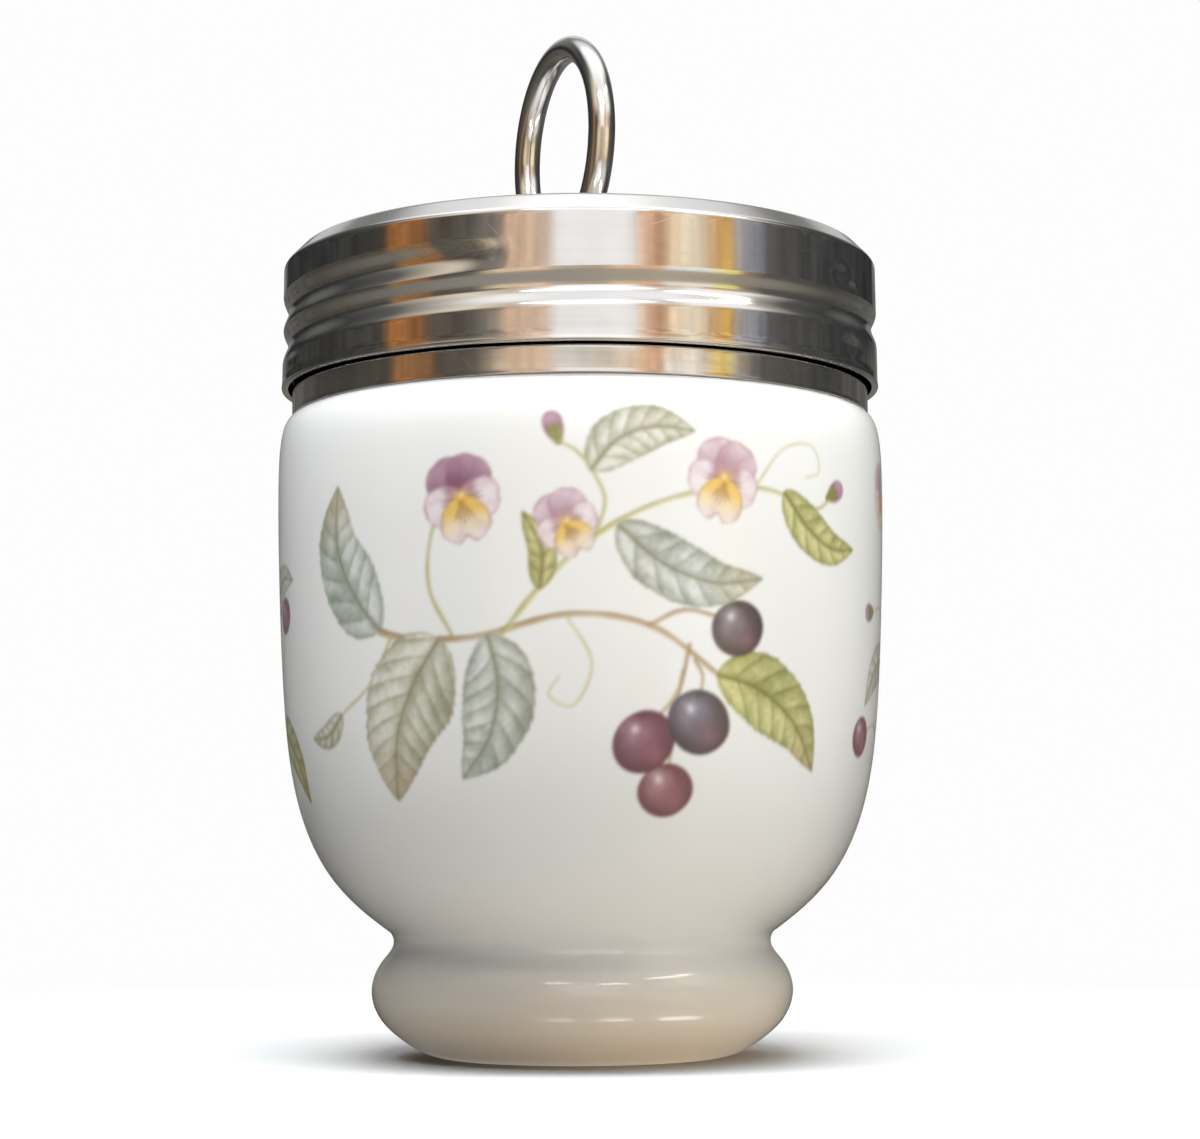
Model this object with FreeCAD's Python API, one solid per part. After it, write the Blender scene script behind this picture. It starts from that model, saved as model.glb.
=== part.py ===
import FreeCAD, Part
import math
import os

# Porcelain egg coddler with a screw-on stainless steel lid.
# Millimetres.  Origin: centre of the foot ring, on the surface it stands on.
# +Z up along the axis of the cup, -Y towards the front of the decoration.

os.makedirs("parts", exist_ok=True)
V = FreeCAD.Vector

# ---------------------------------------------------------------- dimensions
BODY_R = 31.77            # widest radius of the porcelain body
FOOT_CONTACT_RI = 12.7    # foot ring, inner edge of the flat contact face
FOOT_CONTACT_RO = 14.4    # foot ring, outer edge of the flat contact face
CREASE_R, CREASE_Z = 19.9, 12.75   # soft crease between waist and bowl
LEDGE_Z = 66.4            # ledge round the neck on which the collar stands
NECK_RO = 28.1            # porcelain neck, outside
NECK_RI = 25.3            # porcelain neck, inside
RIM_Z = 83.3              # top of the rounded porcelain rim
FLOOR_Z = 14.4            # inside floor of the cup, at its centre

PITCH = 3.4               # rolled thread, right-hand
THREAD_HALF_W = 1.55      # half width of the rolled groove and of the rib
GROOVE_D = 0.55           # depth of the rolled groove in the lid
RIB_H = 0.62              # height of the rolled rib on the collar

LID_Z0 = 69.3             # lower edge of the lid, screwed down
LID_H = 14.8              # height of the lid
LID_T = 0.45              # sheet thickness of the lid
LID_R = 31.48             # flank radius at the lower edge
LID_R_TOP = 31.35         # flank radius under the shoulder
LID_FLARE = 0.06          # small flare of the lower edge
FLARE_H = 0.6             # height over which it fades
SHOULDER = 1.9            # 45 degree shoulder, width and height
GROOVE_END_H = 9.0        # height of the groove's upper end above the lower edge
GROOVE_END_A = -10.0      # angle of the groove's upper end, from -Y towards +X
GROOVE_TURN = 500.0       # degrees of groove

COL_T = 0.5               # sheet thickness of the collar
COL_BAND_R = 30.4         # plain band under the lid
COL_R = 29.95             # threaded part, between the ribs
COL_STEP_Z = 69.6         # middle of the step between the two
COL_TOP_Z = 81.8          # top of the curled edge
COL_LIP_R = 28.3          # inner edge of the curled lip
RIB_TOP_Z = 79.1          # middle of the rib at its upper end
RIB_TURN = 575.0          # degrees of rib

CEMENT_GAP = 0.05         # bond line left between the cement and its neighbours

WIRE_R = 1.25             # wire of the lifting ring
RING_R = 10.75            # lifting ring, to the middle of the wire
RING_TURN = 67.5          # the ring's plane, turned from the XZ plane
RING_X = -1.7             # the ring is brazed a little off the middle of the lid


# ---------------------------------------------------------------- helpers
def spline(pts, t0=None, t1=None):
    """Smooth curve in the XZ half plane through (r, z) points."""
    c = Part.BSplineCurve()
    v = [V(r, 0, z) for r, z in pts]
    if t0 is None:
        c.interpolate(v)
    else:
        c.interpolate(Points=v, InitialTangent=V(t0[0], 0, t0[1]),
                      FinalTangent=V(t1[0], 0, t1[1]))
    return c.toShape()


def line(a, b):
    return Part.LineSegment(V(a[0], 0, a[1]), V(b[0], 0, b[1])).toShape()


def revolve(edges):
    w = Part.Wire(edges)
    s = Part.Face(w).revolve(V(0, 0, 0), V(0, 0, 1), 360)
    if s.ShapeType != "Solid":
        s = s.Solids[0]
    if s.Volume < 0:
        s.reverse()
    return s


def poly(pts):
    e = []
    for i in range(len(pts)):
        a, b = pts[i], pts[(i + 1) % len(pts)]
        e.append(line(a, b))
    return revolve(e)


def smooth(t):
    t = min(1.0, max(0.0, t))
    return t * t * (3.0 - 2.0 * t)


def thread_bump(ang, z, end_a, end_z, turn, fade):
    """Rolled thread: 1 on the helix, 0 beyond THREAD_HALF_W from it.

    ang is measured from -Y towards +X.  The helix falls from its upper end
    (end_a, end_z) in the direction of falling angle for `turn` degrees, and
    runs out smoothly over `fade` degrees at both ends."""
    best = 0.0
    k0 = int(math.floor((end_a - turn - ang) / 360.0)) - 1
    for k in range(k0, k0 + 6):
        a = ang + 360.0 * k
        d = end_a - a                       # degrees below the upper end
        if d < 0 or d > turn:
            continue
        zc = end_z - PITCH * d / 360.0
        u = (z - zc) / THREAD_HALF_W
        if abs(u) >= 1.0:
            continue
        g = math.cos(0.5 * math.pi * u) ** 2
        g *= smooth(d / fade) * smooth((turn - d) / fade)
        best += g
    return best


def relax(data, cyclic):
    """Poles of the uniform cubic spline through the points of a list.

    Open lists get straight ends, so their first and last poles stay put."""
    n = len(data)
    c = [V(q) for q in data]
    for _ in range(60):
        for i in range(n):
            if not cyclic and i in (0, n - 1):
                continue
            a, b = c[i - 1], c[(i + 1) % n]
            c[i] = (data[i] * 6.0 - a - b) * 0.25
    return c


def patches(rows, displace, n_patch=4, step=5.0):
    """Surface of revolution through (r, z) rows with a radial displacement,
    as n_patch spline patches that share their edges exactly."""
    n = int(round(360.0 / step))
    m = len(rows) - 1
    grid = []
    for i in range(n):
        ar = math.radians(i * step)
        col = []
        for r, z in rows:
            rr = r + displace(i * step, z)
            col.append(V(rr * math.sin(ar), -rr * math.cos(ar), z))
        grid.append(col)
    for j in range(m + 1):
        ring = relax([grid[i][j] for i in range(n)], True)
        for i in range(n):
            grid[i][j] = ring[i]
    cols = []
    for i in range(n):
        c = relax(grid[i], False)
        cols.append([c[0] * 2.0 - c[1]] + c + [c[-1] * 2.0 - c[-2]])
    per = n // n_patch
    faces = []
    for p in range(n_patch):
        poles = [cols[(p * per + i) % n] for i in range(-1, per + 2)]
        uk = [float(k) for k in range(-3, per + 4)]
        vk = [float(k) for k in range(-3, m + 4)]
        s = Part.BSplineSurface()
        s.buildFromPolesMultsKnots(poles, [1] * len(uk), [1] * len(vk), uk, vk,
                                   False, False, 3, 3)
        s.segment(0.0, float(per), 0.0, float(m))
        faces.append(s.toShape())
    return faces


def end_wire(faces, z, r_ref):
    """Closed wire of the patches' edges that lie in the plane z at r_ref."""
    es = []
    for f in faces:
        for e in f.Edges:
            bb = e.BoundBox
            if abs(bb.ZMin - z) < 1e-4 and abs(bb.ZMax - z) < 1e-4:
                m = e.valueAt(0.5 * (e.FirstParameter + e.LastParameter))
                if abs(math.hypot(m.x, m.y) - r_ref) < 0.05:
                    es.append(e)
    return Part.Wire(Part.__sortEdges__(es))


def annulus(outer, inner):
    return Part.makeFace([outer, inner], "Part::FaceMakerBullseye")


def solid_from(faces):
    """Closed solid from faces that share their edges."""
    fs = []
    for f in faces:
        fs += f.Faces
    sh = Part.makeShell(fs)
    sh.sewShape()
    sh = sh.Shells[0]
    so = Part.Solid(sh)
    so.fix(1e-4, 1e-5, 1e-3)
    if so.Volume < 0:
        so.reverse()
    return so


def arc_rows(cx, cz, r, a0, a1, n):
    out = []
    for i in range(n + 1):
        a = math.radians(a0 + (a1 - a0) * i / n)
        out.append((cx + r * math.cos(a), cz + r * math.sin(a)))
    return out


def save(shape, name):
    assert shape.isValid(), name
    shape.exportStep("parts/%s.step" % name)
    print(name, "valid", shape.isValid(), "solids", len(shape.Solids),
          "volume", round(shape.Volume, 1))


# ---------------------------------------------------------------- cup
# Outside, from the foot ring up: a round-edged foot, a short cove as waist,
# a soft crease, the deep bowl, nearly straight sides and a rounded shoulder.
foot_pts = [(FOOT_CONTACT_RO, 0.0), (15.6, 0.20), (16.75, 0.62), (18.1, 1.40),
            (19.45, 2.40), (20.7, 3.62), (21.48, 4.95), (21.82, 6.35),
            (21.74, 7.70), (21.25, 9.02), (20.40, 10.25), (19.72, 11.20),
            (19.58, 11.95), (CREASE_R, CREASE_Z)]
body_pts = [(CREASE_R, CREASE_Z), (21.45, 13.90), (22.75, 14.95), (23.90, 16.00),
            (25.75, 18.05), (27.15, 20.15), (28.20, 22.25), (29.00, 24.35),
            (29.62, 26.50), (30.10, 28.70), (30.68, 32.70), (31.05, 37.00),
            (31.30, 41.20), (31.48, 45.40), (31.62, 49.60), (31.73, 54.00),
            (BODY_R, 58.20), (31.72, 61.40), (31.60, 63.20), (31.42, 64.40),
            (31.12, 65.40), (30.66, 66.08), (30.05, LEDGE_Z)]
# Inside, from the centre of the floor up to the neck.
in_pts = [(0.0, FLOOR_Z), (6.0, 14.50), (11.5, 15.10), (16.0, 16.45), (19.6, 18.60),
          (22.4, 21.30), (24.6, 24.70), (26.2, 28.90), (27.3, 34.20), (28.0, 40.50),
          (28.4, 47.50), (28.6, 54.00), (28.45, 59.00), (27.8, 62.60),
          (26.75, 65.30), (25.80, 67.70), (25.38, 70.20), (NECK_RI, 72.50)]
# Underside: a recess inside the foot ring.
under_pts = [(0.0, 10.60), (4.6, 10.50), (8.3, 9.90), (10.6, 8.60), (12.0, 6.30),
             (12.5, 3.70), (12.58, 1.40), (FOOT_CONTACT_RI, 0.0)]

rim_c = 0.5 * (NECK_RO + NECK_RI)
rim_r = 0.5 * (NECK_RO - NECK_RI)
rim_z = RIM_Z - rim_r
rim = Part.Arc(V(NECK_RI, 0, rim_z), V(rim_c, 0, RIM_Z), V(NECK_RO, 0, rim_z)).toShape()

cup = revolve([
    line((FOOT_CONTACT_RI, 0.0), (FOOT_CONTACT_RO, 0.0)),
    spline(foot_pts, (1.0, 0.05), (0.75, 1.0)),
    spline(body_pts, (1.45, 1.0), (-1.0, 0.12)),
    line((30.05, LEDGE_Z), (NECK_RO, LEDGE_Z)),
    line((NECK_RO, LEDGE_Z), (NECK_RO, rim_z)),
    rim,
    line((NECK_RI, rim_z), (NECK_RI, 72.50)),
    spline(in_pts[::-1], (0.0, -1.0), (-1.0, 0.0)),
    line((0.0, FLOOR_Z), (0.0, 10.60)),
    spline(under_pts, (1.0, 0.0), (0.15, -1.0)),
])
save(cup, "cup")

# ---------------------------------------------------------------- lid
# One pressed sheet: flared lower edge, flank with the rolled thread, 45 degree
# shoulder with rounded corners, flat top.


def lid_flank(h):
    r = LID_R + (LID_R_TOP - LID_R) * h / (LID_H - SHOULDER)
    return r + LID_FLARE * math.exp(-(h / FLARE_H) ** 2)


def lid_rows(t):
    """Rows of the outer (t = 0) or inner (t = LID_T) surface."""
    rows = []
    h = 0.0
    while h < 12.1:
        rows.append((lid_flank(h) - t, LID_Z0 + h))
        h += 0.15 if h < 1.2 else 0.4
    # lower corner of the shoulder, radius 0.7 outside
    r1 = 0.7 - t * 0.55
    c = (LID_R_TOP - 0.7, LID_Z0 + LID_H - SHOULDER - 0.29)
    rows += arc_rows(c[0] - t * 0.45, c[1] - t * 0.0, r1, 0, 45, 3)
    # upper corner of the shoulder, radius 1.0 outside
    r2 = 1.0 - t * 0.8
    c2 = (LID_R_TOP - SHOULDER - 0.41 - t * 0.2, LID_Z0 + LID_H - t - r2)
    up = arc_rows(c2[0], c2[1], r2, 45, 90, 4)
    a, b = rows[-1], up[0]
    for i in (1, 2, 3):
        rows.append((a[0] + (b[0] - a[0]) * i / 4.0, a[1] + (b[1] - a[1]) * i / 4.0))
    return rows + up


def lid_thread(a, z):
    return -GROOVE_D * thread_bump(a, z, GROOVE_END_A, LID_Z0 + GROOVE_END_H,
                                   GROOVE_TURN, 26.0)


ro, ri = lid_rows(0.0), lid_rows(LID_T)
fo = patches(ro, lid_thread)
fi = patches(ri, lid_thread)
lid_faces = fo + fi
wo0, wi0 = end_wire(fo, ro[0][1], ro[0][0]), end_wire(fi, ri[0][1], ri[0][0])
wo1, wi1 = end_wire(fo, ro[-1][1], ro[-1][0]), end_wire(fi, ri[-1][1], ri[-1][0])
lid_faces.append(annulus(wo0, wi0))     # lower edge
lid_faces.append(Part.Face(wo1))            # top
lid_faces.append(Part.Face(wi1))            # ceiling
lid = solid_from(lid_faces)
save(lid, "lid")

# ---------------------------------------------------------------- collar
# Stainless ferrule bonded round the porcelain neck: plain band, step, threaded
# part with a rib rolled outwards, edge curled in over the cement.


def collar_base(z):
    return COL_BAND_R + (COL_R - COL_BAND_R) * smooth((z - (COL_STEP_Z - 0.6)) / 1.2)


def collar_rows(t):
    rows = []
    z = LEDGE_Z
    curl = 0.8
    zc = COL_TOP_Z - curl
    n = 42
    for i in range(n):
        zz = LEDGE_Z + (zc - LEDGE_Z) * i / n
        rows.append((collar_base(zz) - t, zz))
    rows += arc_rows(COL_R - curl, zc, curl - t, 0, 90, 8)
    a = rows[-1]
    for i in (1, 2, 3, 4):
        rows.append((a[0] + (COL_LIP_R - a[0]) * i / 4.0, a[1]))
    return rows


# half a pitch above the lid's own helix, so the two never meet
RIB_END_A = GROOVE_END_A + 360.0 * (RIB_TOP_Z - (LID_Z0 + GROOVE_END_H + 0.5 * PITCH)) / PITCH


def collar_thread(a, z):
    return RIB_H * thread_bump(a, z, RIB_END_A, RIB_TOP_Z, RIB_TURN, 30.0)


co, ci = collar_rows(0.0), collar_rows(COL_T)
go = patches(co, collar_thread)
gi = patches(ci, collar_thread)
b0, b1 = end_wire(go, co[0][1], co[0][0]), end_wire(gi, ci[0][1], ci[0][0])
t0, t1 = end_wire(go, co[-1][1], COL_LIP_R), end_wire(gi, ci[-1][1], COL_LIP_R)
col_faces = go + gi + [annulus(b0, b1)]
# inner edge of the lip: four ruled strips between the two patch rows
for f, g in zip(go, gi):
    e = [x for x in f.Edges if abs(x.BoundBox.ZMin - co[-1][1]) < 1e-4
         and abs(x.BoundBox.ZMax - co[-1][1]) < 1e-4
         and abs(math.hypot(x.Vertexes[0].X, x.Vertexes[0].Y) - COL_LIP_R) < 0.01
         and x.Length > 5.0]
    h = [x for x in g.Edges if abs(x.BoundBox.ZMin - ci[-1][1]) < 1e-4
         and abs(x.BoundBox.ZMax - ci[-1][1]) < 1e-4
         and abs(math.hypot(x.Vertexes[0].X, x.Vertexes[0].Y) - COL_LIP_R) < 0.01
         and x.Length > 5.0]
    col_faces.append(Part.makeRuledSurface(e[0], h[0]))
collar = solid_from(col_faces)
save(collar, "collar")

# ---------------------------------------------------------------- cement
# Closed ring of cement between the porcelain neck and the collar.
g = CEMENT_GAP
c_in = NECK_RO + g
cement = poly([
    (c_in, LEDGE_Z + g),
    (COL_BAND_R - COL_T - g, LEDGE_Z + g),
    (COL_BAND_R - COL_T - g, COL_STEP_Z - 0.7),
    (COL_R - COL_T - g, COL_STEP_Z + 0.5),
    (COL_R - COL_T - g, COL_TOP_Z - 0.8),
    (COL_R - COL_T - 0.35, COL_TOP_Z - COL_T - 0.12),
    (c_in, COL_TOP_Z - COL_T - 0.12),
])
save(cement, "collar_cement")

# ---------------------------------------------------------------- lifting ring
# A closed ring of round wire, standing upright near the middle of the lid and
# flattened a little where it meets the sheet.
LID_TOP = LID_Z0 + LID_H
ring_z = LID_TOP + RING_R + WIRE_R - 0.12
ta = math.radians(RING_TURN)
nrm = V(math.sin(ta), math.cos(ta), 0)      # normal of the ring's plane
along = V(math.cos(ta), -math.sin(ta), 0)   # across the ring, in its plane
torus = Part.makeTorus(RING_R, WIRE_R, V(RING_X, 0, ring_z), nrm)
under = Part.makeBox(30, 30, 10, V(-15, -15, LID_TOP - 10))
ring = torus.cut(under)
ring = ring.Solids[0]
save(ring, "lifting_ring")

# ---------------------------------------------------------------- braze
# Low mound of brazing metal that ties the ring to the lid.
ball = Part.makeSphere(1.0)
m = FreeCAD.Matrix(5.0 * along.x, 2.6 * nrm.x, 0, RING_X,
                   5.0 * along.y, 2.6 * nrm.y, 0, 0,
                   0, 0, 1.15, LID_TOP,
                   0, 0, 0, 1)
mound = ball.transformGeometry(m)
braze = mound.cut(under).cut(torus)
braze = max(braze.Solids, key=lambda q: q.Volume)
save(braze, "ring_braze")
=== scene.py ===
import math

import bpy
import numpy as np
from mathutils import Matrix, Vector


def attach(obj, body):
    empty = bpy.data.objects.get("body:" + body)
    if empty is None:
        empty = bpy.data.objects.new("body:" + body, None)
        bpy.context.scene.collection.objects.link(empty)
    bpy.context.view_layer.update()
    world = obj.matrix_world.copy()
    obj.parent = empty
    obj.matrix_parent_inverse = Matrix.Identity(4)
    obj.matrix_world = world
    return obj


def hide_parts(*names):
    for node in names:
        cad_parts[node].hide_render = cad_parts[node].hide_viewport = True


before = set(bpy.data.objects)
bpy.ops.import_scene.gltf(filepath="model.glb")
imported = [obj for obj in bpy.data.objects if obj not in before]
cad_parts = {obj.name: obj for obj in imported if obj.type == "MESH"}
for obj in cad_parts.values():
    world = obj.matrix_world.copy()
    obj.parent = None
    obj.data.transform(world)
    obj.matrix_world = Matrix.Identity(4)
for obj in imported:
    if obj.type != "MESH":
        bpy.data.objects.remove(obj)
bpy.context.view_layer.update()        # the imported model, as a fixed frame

MM = 0.001

# ---------------------------------------------------------------- dimensions
# The same figures as the CAD model, in millimetres.  Angles run from -Y
# towards +X.
FOOT_CONTACT_RI, FOOT_CONTACT_RO = 12.7, 14.4
CREASE = (19.9, 12.75)
LEDGE_Z = 66.4
NECK_RO, NECK_RI = 28.1, 25.3
RIM_Z = 83.3
PITCH = 3.4
THREAD_HALF_W = 1.55
GROOVE_D = 0.55
RIB_H = 0.62
LID_Z0, LID_H, LID_T = 69.3, 14.8, 0.45
LID_R, LID_R_TOP, LID_FLARE, FLARE_H = 31.48, 31.35, 0.06, 0.6
HEM_R, HEM_H = 30.8, 0.45
OUT_BELOW, OUT_ABOVE = 2.15, 1.75
SHOULDER = 1.9
GROOVE_END_H, GROOVE_END_A, GROOVE_TURN = 9.0, -10.0, 500.0
COL_T, COL_BAND_R, COL_R = 0.5, 30.4, 29.95
COL_STEP_Z, COL_TOP_Z, COL_LIP_R = 69.6, 81.8, 28.3
RIB_TOP_Z, RIB_TURN = 79.1, 575.0
RIB_END_A = GROOVE_END_A + 360.0 * (RIB_TOP_Z - (LID_Z0 + GROOVE_END_H + 0.5 * PITCH)) / PITCH
WIRE_R, RING_R, RING_TURN, RING_X = 1.4, 10.6, 67.5, -1.7
LID_TOP = LID_Z0 + LID_H

FOOT_PTS = [(FOOT_CONTACT_RO, 0.0), (15.6, 0.20), (16.75, 0.62), (18.1, 1.40),
            (19.45, 2.40), (20.7, 3.62), (21.48, 4.95), (21.82, 6.35), (21.74, 7.70),
            (21.25, 9.02), (20.40, 10.25), (19.72, 11.20), (19.58, 11.95), CREASE]
BODY_PTS = [CREASE, (21.45, 13.90), (22.75, 14.95), (23.90, 16.00),
            (25.75, 18.05), (27.15, 20.15), (28.20, 22.25), (29.00, 24.35),
            (29.62, 26.50), (30.10, 28.70), (30.68, 32.70), (31.05, 37.00),
            (31.30, 41.20), (31.48, 45.40), (31.62, 49.60), (31.73, 54.00),
            (31.77, 58.20), (31.72, 61.40), (31.60, 63.20), (31.42, 64.40),
            (31.12, 65.40), (30.66, 66.08), (30.05, LEDGE_Z)]
IN_PTS = [(0.0, 14.40), (6.0, 14.50), (11.5, 15.10), (16.0, 16.45), (19.6, 18.60),
          (22.4, 21.30), (24.6, 24.70), (26.2, 28.90), (27.3, 34.20), (28.0, 40.50),
          (28.4, 47.50), (28.6, 54.00), (28.45, 59.00), (27.8, 62.60),
          (26.75, 65.30), (25.80, 67.70), (25.38, 70.20), (NECK_RI, 72.50)]
UNDER_PTS = [(0.0, 10.60), (4.6, 10.50), (8.3, 9.90), (10.6, 8.60), (12.0, 6.30),
             (12.5, 3.70), (12.58, 1.40), (FOOT_CONTACT_RI, 0.0)]

rng = np.random.default_rng(20417)


# ---------------------------------------------------------------- curves
def cspline(pts, t0, t1, step):
    """Clamped cubic spline through (r, z) points, sampled about every step mm."""
    p = np.array(pts, float)
    h = np.hypot(*np.diff(p, axis=0).T)
    u = np.concatenate([[0.0], np.cumsum(h)])
    n = len(p)
    a, b = np.zeros((n, n)), np.zeros((n, 2))
    a[0, 0] = a[-1, -1] = 1.0
    b[0] = np.array(t0) / np.hypot(*t0)
    b[-1] = np.array(t1) / np.hypot(*t1)
    for i in range(1, n - 1):
        a[i, i - 1], a[i, i], a[i, i + 1] = h[i], 2 * (h[i - 1] + h[i]), h[i - 1]
        b[i] = 3 * (h[i] * (p[i] - p[i - 1]) / h[i - 1] + h[i - 1] * (p[i + 1] - p[i]) / h[i])
    m = np.linalg.solve(a, b)
    s = np.linspace(0, u[-1], max(2, int(round(u[-1] / step)) + 1))
    k = np.clip(np.searchsorted(u, s, "right") - 1, 0, n - 2)
    hk = h[k][:, None]
    t = ((s - u[k]) / h[k])[:, None]
    return ((2 * t ** 3 - 3 * t ** 2 + 1) * p[k] + (t ** 3 - 2 * t ** 2 + t) * hk * m[k]
            + (-2 * t ** 3 + 3 * t ** 2) * p[k + 1] + (t ** 3 - t ** 2) * hk * m[k + 1])


def seg(a, b, step):
    n = max(1, int(math.ceil(math.hypot(b[0] - a[0], b[1] - a[1]) / step)))
    return np.array([(a[0] + (b[0] - a[0]) * i / n, a[1] + (b[1] - a[1]) * i / n)
                     for i in range(n + 1)])


def arc(cx, cz, r, a0, a1, n):
    t = np.radians(np.linspace(a0, a1, n + 1))
    return np.stack([cx + r * np.cos(t), cz + r * np.sin(t)], 1)


def chain(*parts):
    """Joins profile pieces, leaving out repeated points."""
    out = [parts[0][0]]
    for part in parts:
        for q in part:
            if math.hypot(q[0] - out[-1][0], q[1] - out[-1][1]) > 1e-5:
                out.append(q)
    return np.array(out, float)


def smooth(t):
    t = np.clip(t, 0.0, 1.0)
    return t * t * (3.0 - 2.0 * t)


def thread_bump(ang, z, end_a, end_z, turn, fade, below=THREAD_HALF_W, above=THREAD_HALF_W):
    """Rolled thread: 1 on the helix, 0 beyond its reach below and above."""
    best = np.zeros(np.broadcast(ang, z).shape)
    for k in range(-6, 6):
        d = end_a - (ang + 360.0 * k)
        ok = (d > 0) & (d < turn)
        if not ok.any():
            continue
        u = z - (end_z - PITCH * d / 360.0)
        u = np.clip(np.where(u > 0, u / above, u / below), -1, 1)
        g = np.cos(0.5 * np.pi * u) ** 2 * smooth(d / fade) * smooth((turn - d) / fade)
        best = best + np.where(ok, g, 0.0)
    return best


# ---------------------------------------------------------------- meshes
def mesh_object(name, co, faces, uv=None):
    """Object from points in millimetres and a list of (n, k) face arrays.
    uv is a list of (n, k, 2) arrays, one for each face array."""
    me = bpy.data.meshes.new(name)
    co = np.asarray(co, np.float64) * MM
    me.vertices.add(len(co))
    me.vertices.foreach_set("co", co.astype(np.float32).ravel())
    loops = np.concatenate([f.ravel() for f in faces]).astype(np.int32)
    sizes = np.concatenate([np.full(len(f), f.shape[1]) for f in faces])
    starts = np.concatenate([[0], np.cumsum(sizes)[:-1]]).astype(np.int32)
    me.loops.add(len(loops))
    me.loops.foreach_set("vertex_index", loops)
    me.polygons.add(len(sizes))
    me.polygons.foreach_set("loop_start", starts)
    me.polygons.foreach_set("use_smooth", np.ones(len(sizes), bool))
    if uv is not None:
        layer = me.uv_layers.new(name="OFBake")
        layer.uv.foreach_set("vector", np.concatenate([u.reshape(-1, 2) for u in uv]).astype(np.float32).ravel())
    me.update(calc_edges=True)
    me.validate()
    ob = bpy.data.objects.new(name, me)
    bpy.context.scene.collection.objects.link(ob)
    return ob


def lathe(rows, cols, closed=False, start=-180.0, shift=None):
    """Surface of revolution through (r, z) rows, row i with cols[i] points
    round it.  A row on the axis is one point.  Where the counts differ, the
    larger is a multiple of the smaller.  shift(angle, row, r, z) moves points
    outwards.  Returns points, face arrays, and for each face array the row
    number and the turn (0 to 1) of each corner."""
    rows = np.asarray(rows, float)
    n = len(rows)
    cols = [1 if r < 1e-6 else c for (r, _), c in zip(rows, cols)]
    base, co = [], []
    total = 0
    for i in range(n):
        base.append(total)
        c = cols[i]
        a = start + 360.0 * np.arange(c) / c
        r = np.full(c, rows[i, 0])
        z = np.full(c, rows[i, 1])
        if shift is not None and c > 1:
            r = r + shift(a, i, r, z)
        t = np.radians(a)
        co.append(np.stack([r * np.sin(t), -r * np.cos(t), z], 1))
        total += c
    quads, qrow, qturn, tris, trow, tturn = [], [], [], [], [], []
    pairs = [(i, i + 1) for i in range(n - 1)] + ([(n - 1, 0)] if closed else [])
    for i, k in pairs:
        a, b = cols[i], cols[k]
        if a == b:
            j = np.arange(a)
            j1 = (j + 1) % a
            quads.append(np.stack([base[i] + j, base[i] + j1, base[k] + j1, base[k] + j], 1))
            qrow.append(np.tile([i, i, k, k], (a, 1)))
            t = j / a
            t1 = (j + 1) / a
            qturn.append(np.stack([t, t1, t1, t], 1))
            continue
        lower_fine = a > b
        fi, ci = (i, k) if lower_fine else (k, i)
        f, c = cols[fi], cols[ci]
        m = f // c
        for s in range(m):
            j = np.arange(c) * m + s
            j1 = (j + 1) % f
            fan = np.arange(c) if s < (m + 1) // 2 or c == 1 else (np.arange(c) + 1)
            fan_t = (j + 0.5) / f if c == 1 else fan / c
            tri = [base[fi] + j, base[fi] + j1, base[ci] + fan % c]
            rw = [fi, fi, ci]
            tt = [j / f, (j + 1) / f, fan_t]
            order = (0, 1, 2) if lower_fine else (1, 0, 2)
            tris.append(np.stack([tri[o] for o in order], 1))
            trow.append(np.tile([rw[o] for o in order], (c, 1)))
            tturn.append(np.stack([tt[o] for o in order], 1))
        if c > 1:
            # the coarse edge's own triangle
            s = (m + 1) // 2
            j = np.arange(c) * m + s
            c0, c1 = np.arange(c), np.arange(c) + 1
            tri = [base[fi] + j % f, base[ci] + c1 % c, base[ci] + c0]
            rw = [fi, ci, ci]
            tt = [j / f, c1 / c, c0 / c]
            order = (0, 1, 2) if lower_fine else (0, 2, 1)
            tris.append(np.stack([tri[o] for o in order], 1))
            trow.append(np.tile([rw[o] for o in order], (c, 1)))
            tturn.append(np.stack([tt[o] for o in order], 1))
    faces, rws, tns = [], [], []
    if quads:
        faces.append(np.concatenate(quads)); rws.append(np.concatenate(qrow)); tns.append(np.concatenate(qturn))
    if tris:
        faces.append(np.concatenate(tris)); rws.append(np.concatenate(trow)); tns.append(np.concatenate(tturn))
    return np.concatenate(co), faces, rws, tns, base, cols


def run_length(rows, closed=False):
    """Length along the profile up to each row, from 0 to 1."""
    rows = np.asarray(rows)
    s = np.concatenate([[0.0], np.cumsum(np.hypot(*np.diff(rows, axis=0).T))])
    return s / s[-1]


def plain_uv(rows, rws, tns, closed=False):
    v = run_length(rows)
    if closed:
        v = v * 0.995
    out = []
    for rw, tn in zip(rws, tns):
        vv = v[rw]
        if closed:      # the strip that closes the loop runs on to 1
            last = (rw == 0) & (rw.max(1, keepdims=True) == len(rows) - 1)
            vv = np.where(last, 1.0, vv)
        out.append(np.stack([0.002 + 0.996 * tn, 0.002 + 0.996 * vv], -1))
    return out


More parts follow.
